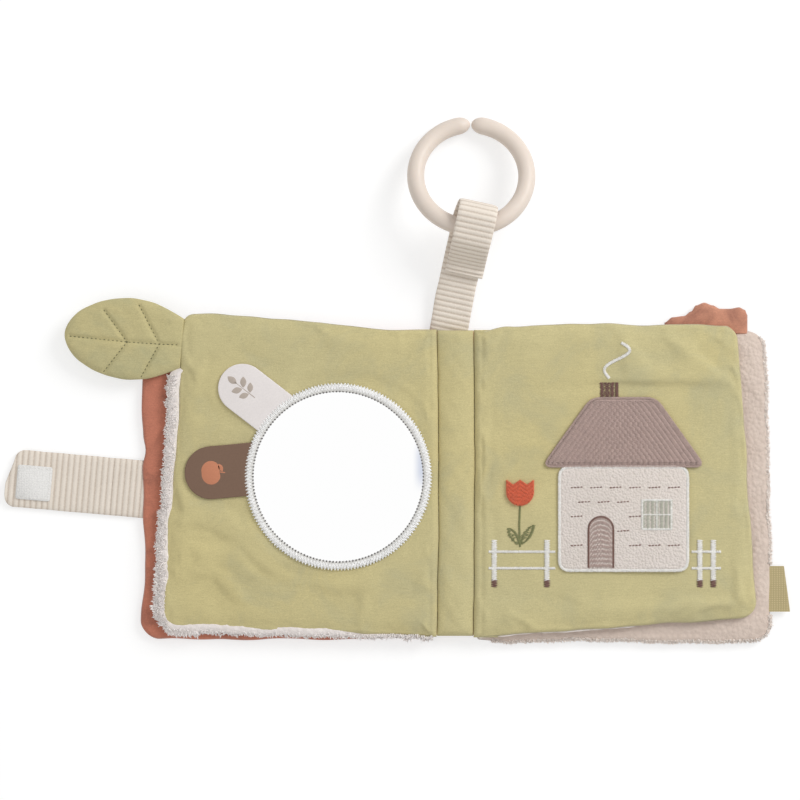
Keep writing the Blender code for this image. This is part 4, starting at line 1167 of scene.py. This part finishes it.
def flap_outline(radius, reach, shift):
    """A flap with a round end; X runs out from the mirror's middle, and its root follows the border."""
    outline = []
    for i in range(13):
        y = shift + radius - 2 * radius * i / 12
        outline.append((sqrt(FLAP_ROOT ** 2 - y * y), y))
    start = outline[-1][0]
    outline += [(start + (reach - start) * i / 24, shift - radius) for i in range(1, 24)]
    outline += arc(reach, shift, radius, -90, 90, 32)
    start = outline[0][0]
    outline += [(reach + (start - reach) * i / 24, shift + radius) for i in range(1, 24)]
    return outline


def sewn_flap(name, radius, reach, shift, material):
    """A flap, held under the border."""
    place = FLAP_PLACES[name]
    made = patch(name + "_felt", flap_outline(radius, reach, shift), TRIM_BASE, FLAP_LEVELS, material, None,
                 place, (name,))
    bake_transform(made)


sewn_flap("white_flap", 11.8, 62.8, -5.6, WHITE_FELT)
sewn_flap("brown_flap", 12.8, 61.0, -7.5, BROWN_FELT)


def almond(x, y, length, width, angle, steps=12):
    """A pointed leaf shape that starts at a point and runs out at an angle, in millimetres and degrees."""
    outline = []
    for sign in (-1, 1):
        for i in range(steps):
            share = i / steps if sign < 0 else 1 - i / steps
            outline.append((length * share, sign * width / 2 * sin(pi * share) ** 0.85))
    turn = radians(angle)
    return [(x + a * cos(turn) - b * sin(turn), y + a * sin(turn) + b * cos(turn)) for a, b in outline]


def printed(name, outline, material, flap):
    """A low print on a flap's face."""
    patch(name, outline, FLAP_FACE, PRINT_LEVELS, material, flap, FLAP_PLACES[flap])


def sprig_print():
    """A plain sprig of five leaves on the white flap."""
    for i, (x, y, length, width, angle) in enumerate((
        (66.3, -5.6, 5.6, 3.2, 0), (62.6, -5.2, 5.4, 3.0, 52), (62.6, -6.0, 5.4, 3.0, -52),
        (58.6, -5.2, 5.0, 2.8, 56), (58.6, -6.0, 5.0, 2.8, -56),
    )):
        printed(f"sprig_leaf_{i + 1}", almond(x, y, length, width, angle), TAUPE_PRINT, "white_flap")
    stem = [(55.2, -5.85), (67.5, -5.75), (67.5, -5.45), (55.2, -5.35)]
    printed("sprig_stem", stem, TAUPE_PRINT, "white_flap")


def apple_print():
    """A plain apple with a stalk and a leaf on the brown flap."""
    outline = []
    for i in range(60):
        angle = 2 * pi * i / 60
        dents = sum(deep * exp(-((angle - at) / wide) ** 2)
                    for at, wide, deep in ((pi, 0.34, 0.16), (0.0, 0.3, 0.06), (2 * pi, 0.3, 0.06)))
        radius = 5.3 * (1 - dents)
        outline.append((61.0 + radius * cos(angle) * 0.92, -7.5 + radius * sin(angle) * 1.08))
    printed("apple_body", outline, RUST_PRINT, "brown_flap")
    stalk = [(54.1, -7.2), (56.9, -7.75), (57.0, -7.25), (54.3, -6.7)]
    printed("apple_stalk", stalk, RUST_PRINT, "brown_flap")
    printed("apple_leaf", almond(55.4, -7.6, 4.2, 2.2, -68), RUST_PRINT, "brown_flap")


sprig_print()
apple_print()


# Leaf tab

TAB_LENGTH = 57.2
TAB_ROOT_HALF = 11.8
TAB_HALF = 19.8
TAB_WIDEST = 0.42
TAB_PLACE = frame_at(Vector((-132.7, 67.8, PAGE_SEAM)) * MM, heading(175.0))
MIDRIB = ((2.6, 0.9), (10.9, 1.3), (26.5, 1.6), (54.0, 1.2))
VEINS = (((26.5, 1.6), (38.8, -12.6)), ((26.5, 1.6), (36.4, 16.6)), ((10.9, 1.3), (22.1, -16.4)),
         ((10.9, 1.3), (18.2, 17.6)))


def off_line(x, y, line):
    """How far a point is from a line of points."""
    nearest = 1e9
    for (ax, ay), (bx, by) in zip(line, line[1:]):
        way = Vector((bx - ax, by - ay))
        share = min(1.0, max(0.0, (Vector((x - ax, y - ay)).dot(way)) / way.length_squared))
        nearest = min(nearest, hypot(x - ax - way.x * share, y - ay - way.y * share))
    return nearest


def tab_half_width(share):
    """Half the leaf tab's width at a share of its length."""
    if share < TAB_WIDEST:
        return TAB_ROOT_HALF + (TAB_HALF - TAB_ROOT_HALF) * sin(share / TAB_WIDEST * pi / 2)
    return max(0.25, TAB_HALF * max(0.0, 1 - ((share - TAB_WIDEST) / (1 - TAB_WIDEST)) ** 2.1) ** 0.55)


def leaf_tab_height(x, y, edge):
    """Height of the stuffed leaf over its seam: full between the sewn veins, drawn down at them."""
    drawn = exp(-off_line(x, y, MIDRIB) ** 2)
    for vein in VEINS:
        drawn = max(drawn, exp(-(off_line(x, y, vein) / 0.9) ** 2))
    pucker = 0.22 * steady(6.0, x / 3.4, y / 3.4) + 0.2 * steady(6.5, x / 9, y / 9)
    return max(0.05, 2.35 * domed(edge / 6.5) * (1 - 0.42 * drawn) + pucker * min(1.0, edge / 3.0))


def leaf_tab():
    """The stuffed velour leaf."""
    rows, columns = 110, 81
    points = []
    for up in (1, -1):
        for i in range(rows):
            share = sin(i / (rows - 1) * pi / 2)
            half = tab_half_width(share) + 0.35 * steady(9.0, share * 9) * min(1.0, (1 - share) * 12)
            x = TAB_LENGTH * share
            for j in range(columns):
                t = sin((-1 + 2 * j / (columns - 1)) * pi / 2)
                y = half * t
                edge = min(half * (1 - abs(t)) * 0.95, (1 - share) * TAB_LENGTH * 0.8, 1.5 + x * 0.6)
                if abs(t) == 1.0:
                    edge = 0.0
                height = leaf_tab_height(x, y, edge) if edge > 0 else 0.0
                points.append(TAB_PLACE @ (Vector((x, y, up * height)) * MM))
    made = new_piece("leaf_tab_velour", points, two_sheets(rows, columns, False, ()), LEAF_GREEN)
    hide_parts("leaf_tab_front", "leaf_tab_back", "leaf_tab_wadding")
    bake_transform(made)
    return made


def leaf_veins():
    """Running stitches along the leaf's veins, on both faces."""
    surface = surface_of(leaf_tab())
    lines = []
    for up in (1, -1):
        for line in (MIDRIB,) + VEINS:
            placed = [TAB_PLACE @ point for point in at_height(along_line(line, 1.0), 0.0)]
            lines.append(laid_on(surface, [(p.x / MM, p.y / MM) for p in placed], 0.02, up, PAGE_SEAM))
    sewn("leaf_tab_veins", lines, VEIN_THREAD, "leaf_tab", 2.0, 1.2, 0.52, 0.0, 0.0, 0.06, False, 6)


leaf_veins()


# Lobed tab

LOBES = ((0.0, 4.0), (0.098, 6.6), (0.235, 7.2), (0.32, 9.4), (0.38, 12.4), (0.477, 13.7), (0.58, 12.4),
         (0.67, 10.7), (0.78, 10.7), (0.90, 11.4), (0.97, 10.2), (1.0, 7.5))


def lobed_tab():
    """The lobed velour tab in the back cover's top seam."""
    left, right, seam_y = 101.7, 142.1, 74.14
    rows, columns = 81, 29
    shares = [i / (rows - 1) for i in range(rows)]
    outline = [(left + (right - left) * share, seam_y + mixed(LOBES, share)) for share in shares]
    rim = [(left, seam_y)] + outline + [(right, seam_y)]
    points = []
    for up in (1, -1):
        for i, (x, top) in enumerate(outline):
            for j in range(columns):
                share = j / (columns - 1)
                y = seam_y - 1.5 * (1 - share) + (top - seam_y) * share
                edge = off_line(x, y, rim) if 0 < i < rows - 1 and j < columns - 1 else 0.0
                rise = 1.9 * domed(edge / 3.6) + 0.18 * steady(7.0, x / 4, y / 4) * min(1.0, edge)
                points.append(Vector((x, y, COVER_SEAM + up * max(0.0, rise))) * MM)
    made = new_piece("lobed_tab_velour", points, two_sheets(rows, columns, True, (0,), ()), LOBE_VELOUR)
    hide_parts("lobed_tab")
    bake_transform(made)


lobed_tab()


# Ribbed bands: closing strap and hanging ribbon


def ribbed_band(name, stations, pitch, thick, depth, hem=None):
    """A ribbed band from stations: length so far, middle, across, normal, low edge, high edge, in metres."""
    sides = 15
    points, ribs = [], []
    for far, middle, across, normal, low, high in stations:
        wave = 0.5 - 0.5 * cos(2 * pi * far / pitch)
        half = thick / 2 - depth * (1 - wave)
        if hem:
            half *= mixed(hem, far)
        for up in (1, -1):
            for j in range(sides):
                t = sin((-1 + 2 * j / (sides - 1)) * pi / 2) * up
                y = low + (high - low) * (t + 1) / 2
                round_off = max(0.12, (1 - abs(t) ** 8) ** 0.5)
                points.append(middle + across * y + normal * (up * half * round_off))
                ribs.append((far / pitch + 0.5, y / MM * 0.1))
    return new_piece(name, points, tube_faces(len(stations), 2 * sides), RIBBED, None, ribs)


STRAP_HINGE = Vector((-156.0, -2.8, 1.4)) * MM
STRAP_ALONG = heading(175.0)
STRAP_ACROSS = Vector((0.0, 0.0, 1.0)).cross(STRAP_ALONG)
STRAP_PLACE = frame_at(STRAP_HINGE, STRAP_ALONG)
STRAP_ROOT = -7.0
STRAP_JOIN = 11.4
STRAP_SPAN = 22.8
STRAP_END = STRAP_SPAN + 40.5
STRAP_SLANT = 3.4
STRAP_HALF = 14.0
STRAP_CORNER = 5.0


def strap_edges(far):
    """The strap's two edges at a length along it, in metres: its end is slanted, with round corners."""
    edges = []
    for sign, last in ((1, STRAP_END), (-1, STRAP_END - STRAP_SLANT)):
        into = min(max(far - (last - STRAP_CORNER), 0.0), STRAP_CORNER)
        drop = STRAP_CORNER - sqrt(STRAP_CORNER ** 2 - into * into)
        if far > last:
            drop += (far - last) * STRAP_HALF / 4.2
        edges.append(sign * (STRAP_HALF - drop + 0.25 * steady(5.0 + sign, far / 9)))
    return min(edges) * MM, max(edges) * MM


def strap_half(name, start, end, replaced, bodies, bend, reach):
    """A length of the strap."""
    count = int((end - start) / 0.32)
    stations = []
    for i in range(count + 1):
        far = start + (end - start) * i / count
        middle = STRAP_HINGE + STRAP_ALONG * far * MM
        middle.z += 0.12 * MM * steady(2.0, far / 11)
        stations.append((far * MM, middle, STRAP_ACROSS, Vector((0.0, 0.0, 1.0)), *strap_edges(far)))
    made = ribbed_band(name, stations, 2.8 * MM, 2.3 * MM, 0.18 * MM)
    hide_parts(*replaced)
    bent_at(made, *bodies, STRAP_HINGE + STRAP_ALONG * bend * MM, STRAP_ALONG, reach)


strap_half("strap_near_half", STRAP_ROOT, STRAP_JOIN, ("strap_root", "strap_base"),
           ("front_cover", "strap_base"), 0.0, 2.0)
strap_half("strap_far_half", STRAP_JOIN, STRAP_END, ("strap_tip",), ("strap_base", "strap_tip"), STRAP_SPAN,
           2.5)


def box(left, bottom, right, top):
    """The corners of a box, anticlockwise."""
    return [(left, bottom), (right, bottom), (right, top), (left, top)]


def hook_patch():
    """The hook patch on the strap's tip, sewn on all round."""
    middle = STRAP_END - 13.9
    outline = rounded(box(middle - 8.6, -6.9, middle + 8.4, 9.9), 1.4)
    patch("hook_patch_tape", outline, 1.02, ((0.2, 0.0), (0.0, 0.2), (0.0, 0.6), (0.3, 0.85)), HOOK_WHITE,
          "strap_tip", STRAP_PLACE, ("hook_patch",))
    seam = at_height(along_line(offset(outline, 1.1), 0.5, True), 1.86)
    placed = [STRAP_PLACE @ point for point in seam]
    sewn("hook_patch_stitches", [placed], WHITE_THREAD, "strap_tip", 1.9, 1.55, 0.36, 0.0, 0.0, 0.08, True, 8)


def loop_patch():
    """The soft loop patch under the back cover, where the hook patch lands."""
    x, y, half = 131.2, -5.0, 9.6
    patch("loop_patch_tape", rounded(box(x - half, y - half, x + half, y + half), 1.6), 0.0,
          ((0.3, 0.0), (0.0, 0.2), (0.0, 0.45)), HOOK_WHITE, "back_cover", None, ("loop_patch",))


hook_patch()
loop_patch()

# Hanging ribbon
RIBBON_ROOT = Vector((-2.9, 76.571, 3.0)) * MM
RIBBON_LEAN = radians(12.3)
RIBBON_PITCH = radians(13.1)
RIBBON_ALONG = Vector((sin(RIBBON_LEAN) * cos(RIBBON_PITCH), cos(RIBBON_LEAN) * cos(RIBBON_PITCH),
                       sin(RIBBON_PITCH)))
RIBBON_PLACE = frame_at(RIBBON_ROOT, RIBBON_ALONG)
RIBBON_START = -4.0
RIBBON_GAP = 13.70
RIBBON_FOLD = 55.5
RIBBON_FLAT_END = 46.5
RIBBON_END = 26.2
RIBBON_DROP = RIBBON_GAP - 1.6 - 0.3


def ribbon_path():
    """The ribbon's middle line in its own plane, in millimetres: out, round the ring and back."""
    step = 0.34
    path = [(RIBBON_START + step * i, 0.0) for i in range(int((RIBBON_FOLD - RIBBON_START) / step))]
    turns = int(pi * RIBBON_GAP / 2 / step)
    path += arc(RIBBON_FOLD, RIBBON_GAP / 2, RIBBON_GAP / 2, -90, 90, turns)
    count = int((RIBBON_FOLD - RIBBON_END) / step)
    for i in range(1, count + 1):
        along = RIBBON_FOLD + (RIBBON_END - RIBBON_FOLD) * i / count
        down = smooth((RIBBON_FLAT_END - along) / (RIBBON_FLAT_END - RIBBON_END))
        path.append((along, RIBBON_GAP - RIBBON_DROP * down))
    return path


def path_ways(path):
    """Each point of a path with the way that the path runs there."""
    for i, (along, lift) in enumerate(path):
        before, after = path[max(0, i - 1)], path[min(len(path) - 1, i + 1)]
        yield along, lift, Vector((after[0] - before[0], after[1] - before[1])).normalized()


def hanging_ribbon():
    """The ribbed ribbon, from the spine's seam round the ring and back onto itself."""
    path = ribbon_path()
    across = RIBBON_PLACE.to_3x3() @ Vector((0.0, 1.0, 0.0))
    stations, far = [], 0.0
    last = path[0]
    for along, lift, way in path_ways(path):
        far += hypot(along - last[0], lift - last[1])
        last = (along, lift)
        normal = RIBBON_PLACE.to_3x3() @ Vector((-way.y, 0.0, way.x))
        middle = RIBBON_PLACE @ (Vector((along, 0.0, lift)) * MM)
        edge = 9.25 + 0.18 * steady(3.0, far / 8)
        back = smooth((far - RIBBON_FOLD) / 20.0)
        middle = middle + across * (0.7 - 1.9 * back) * MM * smooth(far / 20.0)
        stations.append((far * MM, middle, across, normal, -edge * MM, edge * MM))
    hem = [((far + back) * MM, full) for back, full in ((-4.6, 1.0), (-3.2, 1.9), (-0.8, 1.85), (0.0, 0.7))]
    made = ribbed_band("hanging_ribbon_band", stations, 2.6 * MM, 1.7 * MM, 0.17 * MM, [(0.0, 1.0)] + hem)
    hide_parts("hanging_ribbon")
    bent_at(made, "spine", "hanging_ribbon", RIBBON_ROOT, RIBBON_ALONG, 1.5)


hanging_ribbon()

# Split ring
RING_RADIUS = 26.8
RING_TUBE = 4.15
RING_PLACE = frame_at(Vector((7.262, 148.666, 12.541)) * MM,
                      Vector((0.0, cos(radians(18.0)), -sin(radians(18.0)))))


def split_ring():
    """The moulded ring, split at its top, with tapered round ends that nearly meet."""
    gap = 0.3 / RING_RADIUS
    taper = 6.4 / RING_RADIUS
    stops = []
    for i in range(19):
        turn = 1 - cos(i / 18 * pi / 2)
        full = sqrt(max(0.0004, 1 - (1 - min(1.0, turn * 1.02)) ** 2.2))
        stops.append((gap + taper * turn, RING_TUBE * full))
    body = [(gap + taper + (2 * pi - 2 * (gap + taper)) * i / 180, RING_TUBE) for i in range(1, 180)]
    stops = stops + body + [(2 * pi - angle, size) for angle, size in reversed(stops)]
    sides = 28
    points = []
    for angle, size in stops:
        out = Vector((cos(angle), sin(angle), 0.0))
        for side in range(sides):
            turn = 2 * pi * side / sides
            place = out * (RING_RADIUS + size * cos(turn)) + Vector((0.0, 0.0, size * sin(turn)))
            points.append(RING_PLACE @ (place * MM))
    made = new_piece("split_ring", points, tube_faces(len(stops), sides), RING_PLASTIC, "hanging_ring")
    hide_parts("hanging_ring")


split_ring()

# Side label, folded double and left bare
LABEL_SEAM = (153.4, -51.55)
LABEL_WIDTH = 22.2
LABEL_ROOT = -1.0
LABEL_FOLD = 8.4
LABEL_THICK = 0.4
LABEL_GAP = 0.7


def side_label():
    """The folded woven label, cut a little aslant."""
    steps, columns = 30, 13
    out = [(LABEL_ROOT + (LABEL_FOLD - LABEL_ROOT) * i / steps, -LABEL_GAP / 2) for i in range(steps + 1)]
    path = out + arc(LABEL_FOLD, 0.0, LABEL_GAP / 2, -90, 90, 8)[1:] + [(x, -z) for x, z in out[-2::-1]]
    points = []
    for side in (-LABEL_THICK / 2, LABEL_THICK / 2):
        for x, z, way in path_ways(path):
            for j in range(columns):
                share = j / (columns - 1)
                y = LABEL_WIDTH * (share - 0.5)
                cut = 1.06 - 0.34 * share if x > 0 else 1.0
                wave = 0.25 * steady(1.4, y / 9, x / 9) * max(0, x) / 8
                points.append(Vector((LABEL_SEAM[0] + x * cut - way.y * side, LABEL_SEAM[1] + y,
                                      COVER_SEAM + z + way.x * side + wave)) * MM)
    made = new_piece("side_label_ribbon", points, two_sheets(len(path), columns, False), LABEL_CLOTH,
                     "side_label")
    made.data.set_sharp_from_angle(angle=radians(60.0))
    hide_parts("side_label")


side_label()


# Picture on the right page: a cottage with a fence and a tulip

PAGE_LIFT = 0.15
PAD_BASE = 9.2
PAD_LEVELS = ((0.0, 0.5), (0.25, 0.95), (0.8, 1.25), (1.8, 1.42))
PAD_FACE = PAD_BASE + 1.42
TULIP_FACE = PAD_BASE + 1.25
WALL = rounded(box(50.0, -42.0, 112.0, 8.0), 5.0)
ROOF = rounded([(42.0, 8.3), (120.0, 8.3), (96.5, 41.3), (65.5, 41.3)], 4.5)
TULIP = arc(31.0, -4.0, 6.8, 180, 360, 16) + [
    (37.8, 1.7), (34.4, -0.7), (31.0, 1.7), (27.6, -0.7), (24.2, 1.7)]


def on_page(points, height=None):
    """Flat points at a height in millimetres, or laid on the page where none is given."""
    return at_height(points, height) if height else laid_on(RIGHT_FACE, points, PAGE_LIFT)


def pad(name, outline, levels, material, replaced):
    """A padded shape of the picture, which stands for a solid."""
    patch(name, outline, PAD_BASE, levels, material, "right_page", None, (replaced,))


def satin(name, line, width, material, seed, height=None, closed=False):
    """A bar of satin stitches along a line."""
    placed = on_page(along_line(line, 0.5, closed), height)
    sewn(name, [placed], material, "right_page", 0.42, width, 0.52, radians(90.0), 0.06, 0.04, closed, seed)


def filled_rows(outline, spacing, upright=False):
    """Rows that fill an outline, in millimetres."""
    rows = []
    flat = [(y, x) for x, y in outline] if upright else outline
    low = min(y for _, y in flat) + spacing / 2
    high = max(y for _, y in flat)
    height = low
    while height < high:
        crossings = []
        for (ax, ay), (bx, by) in zip(flat, flat[1:] + flat[:1]):
            if (ay - height) * (by - height) < 0:
                crossings.append(ax + (bx - ax) * (height - ay) / (by - ay))
        crossings.sort()
        for first, last in zip(crossings[::2], crossings[1::2]):
            if last - first > 1.0:
                first += 0.9 * ((len(rows) * 0.381) % 1.0)
                row = along_line([(first + 0.2, height), (last - 0.2, height)], 0.8)
                rows.append([(y, x) for x, y in row] if upright else row)
        height += spacing
    return rows


def filled(name, outline, material, pitch, loose, seed, height=None, spacing=0.5, upright=False, width=0.5):
    """Rows of long stitches that fill an outline."""
    rows = [on_page(row, height) for row in filled_rows(outline, spacing, upright)]
    sewn(name, rows, material, "right_page", pitch, pitch + 0.2, width, 0.0, 0.0, loose, False, seed)


def bricks():
    """Short dashes over the wall, clear of the door and the window."""
    dashes = []
    for row, height in enumerate((-2.0, -9.0, -16.0, -23.0, -30.0)):
        shift = 3.6 if row % 2 else 0.0
        for i in range(6):
            x = 56.0 + shift + i * 9.4
            clear_window = not (84.5 < x and -24.0 < height < -5.0)
            clear_door = not (58.0 < x + 2 < 79.0 and height < -12.0)
            if x < 104.0 and clear_window and clear_door:
                dashes.append(at_height([(x, height), (x + 4.6, height + 0.3)], PAD_FACE - 0.22))
    sewn("cottage_wall_dashes", dashes, BROWN_THREAD, "right_page", 1.3, 1.7, 0.90, 0.0, 0.10, 0.08, False,
         15)


def cottage():
    """The padded wall and roof with their embroidery."""
    pad("cottage_wall", WALL, PAD_LEVELS, WALL_CLOTH, "picture_wall")
    satin("cottage_wall_edge", WALL, 1.9, WHITE_THREAD, 12, PAD_FACE - 0.25, True)
    pad("cottage_roof", ROOF, PAD_LEVELS, MAUVE_THREAD, "picture_roof")
    filled("cottage_roof_fill", offset(ROOF, 0.9), MAUVE_THREAD, 2.5, 0.015, 13, PAD_FACE)
    satin("cottage_roof_edge", ROOF, 1.5, MAUVE_THREAD, 14, PAD_FACE - 0.2, True)
    bricks()
    door = [(64.0, -40.5), (64.0, -22.0)] + arc(70.0, -22.0, 6.0, 180, 0, 10)[1:] + [(76.0, -40.5)]
    filled("cottage_door_fill", offset(door[::-1], 0.3), MAUVE_THREAD, 2.1, 0.015, 16, PAD_FACE, upright=True)
    edge_face = PAD_FACE + 0.05
    satin("cottage_door_edge", door, 1.3, BROWN_THREAD, 17, edge_face)
    window = box(90.0, -22.0, 104.0, -8.0)
    filled("cottage_window_fill", window, GLASS_THREAD, 2.1, 0.02, 28, PAD_FACE, width=0.52)
    satin("cottage_window_edge", window, 1.4, WHITE_THREAD, 18, edge_face, True)
    satin("cottage_window_bar_up", [(97.0, -21.5), (97.0, -8.5)], 1.0, WHITE_THREAD, 19, edge_face)
    satin("cottage_window_bar_across", [(90.5, -15.0), (103.5, -15.0)], 1.0, WHITE_THREAD, 20, edge_face)


def garden():
    """Fence posts, rails, a tulip and a curl of smoke, sewn straight on the page."""
    for i, x in enumerate((118.0, 124.5, 44.0, 18.5)):
        satin(f"fence_post_{i + 1}", [(x, -47.0), (x, -27.5)], 3.2, WHITE_THREAD, 21)
        satin(f"fence_foot_{i + 1}", [(x, -50.0), (x, -46.6)], 3.4, BROWN_THREAD, 22)
    rails = [(first, last, y) for first, last in ((114.2, 128.0), (16.0, 47.8)) for y in (-33.0, -41.0)]
    for i, (first, last, y) in enumerate(rails):
        satin(f"fence_rail_{i + 1}", [(first, y), (last, y)], 1.6, WHITE_THREAD, 23)
    satin("tulip_stem", [(31.0, -30.5), (30.6, -20.0), (31.0, -10.5)], 1.2, GREEN_THREAD, 11)
    for i, (angle, length) in enumerate(((56, 12.5), (124, 11.0))):
        filled(f"tulip_leaf_{i + 1}", almond(30.8, -30.0, length, 3.6, angle), GREEN_THREAD, 1.6, 0.03, 24)
    pad("tulip_head", TULIP, PAD_LEVELS[:3], ORANGE_THREAD, "picture_flower")
    filled("tulip_fill", offset(TULIP, 0.3), ORANGE_THREAD, 1.7, 0.03, 25, TULIP_FACE, 0.45, True)
    filled("chimney_fill", box(70.0, 40.6, 78.0, 49.0), BROWN_THREAD, 1.8, 0.03, 26, None, 0.36)
    smoke = []
    for i in range(60):
        share = i / 59
        curl = 5.0 * sin(share * 2 * pi) * (0.6 + 0.6 * share)
        smoke.append((74.0 - curl + 6.0 * share, 51.0 + 17.0 * share))
    satin("smoke_curl", smoke, 1.9, WHITE_THREAD, 27)


cottage()
garden()


# Studio


def paper():
    """Pale paper that keeps the object's shadow; the mirror shows it as white."""
    made = new_material("paper", 0.86, 0.9)
    shader = made.node_tree.nodes["Principled BSDF"]
    rays = linked(made, "ShaderNodeLightPath").outputs
    seen_directly = rays["Is Camera Ray"]
    fill(made.node_tree, shader, {
        "Base Color": maths(made, "MULTIPLY_ADD", seen_directly, -0.38, 0.86), "Specular IOR Level": 0.0})
    lift = linked(made, "ShaderNodeEmission", {"Strength": maths(made, "MULTIPLY", seen_directly, 0.60)})
    lit = linked(made, "ShaderNodeAddShader", {0: shader.outputs[0], 1: lift.outputs[0]})
    white = linked(made, "ShaderNodeEmission", {"Strength": 1.0})
    seen = maths(made, "MAXIMUM", rays["Is Glossy Ray"], rays["Is Transmission Ray"])
    shown = linked(made, "ShaderNodeMixShader", {0: seen, 1: lit.outputs[0], 2: white.outputs[0]})
    fill(made.node_tree, made.node_tree.nodes["Material Output"], {"Surface": shown.outputs[0]})
    return made


def sky():
    """Soft light from all round, seen as white."""
    world = bpy.data.worlds.new("studio")
    world.use_nodes = True
    nodes = world.node_tree.nodes
    fill(world.node_tree, nodes["Background"], {"Color": (1.0, 0.995, 0.985, 1.0), "Strength": 0.54})
    white = linked(world, "ShaderNodeBackground", {"Color": (1.0, 1.0, 1.0, 1.0), "Strength": 1.0})
    rays = linked(world, "ShaderNodeLightPath").outputs
    seen = maths(world, "MAXIMUM", maths(world, "MAXIMUM", rays["Is Camera Ray"], rays["Is Glossy Ray"]),
                 rays["Is Transmission Ray"])
    shown = linked(world, "ShaderNodeMixShader", {
        0: seen, 1: nodes["Background"].outputs[0], 2: white.outputs[0]})
    fill(world.node_tree, nodes["World Output"], {"Surface": shown.outputs[0]})
    return world


def studio():
    """A pale floor, soft light and the camera straight above."""
    scene = bpy.context.scene
    scene.view_settings.view_transform = "Standard"
    scene.world = sky()
    mesh = bpy.data.meshes.new("floor")
    mesh.from_pydata([(x, y, -0.0004) for x, y in box(-2, -2, 2, 2)], [], [(0, 1, 2, 3)])
    mesh.materials.append(paper())
    in_scene("floor", mesh)
    for name, place, power, size in (
        ("key_light", (0.95, 0.75, 0.85), 12.5, 0.7), ("fill_light", (-0.9, -0.4, 1.1), 2.6, 1.1),
    ):
        lamp = bpy.data.lights.new(name, "AREA")
        lamp.energy = power
        lamp.size = size
        made = in_scene(name, lamp)
        made.location = place
        made.rotation_euler = (-Vector(place)).to_track_quat("-Z", "Y").to_euler()
    lens = bpy.data.cameras.new("camera")
    lens.lens = 100.0
    lens.sensor_width = 36.0
    scene.camera = in_scene("camera", lens)
    scene.camera.location = (-0.0271, 0.0404, 1.0756 + 0.009)


studio()
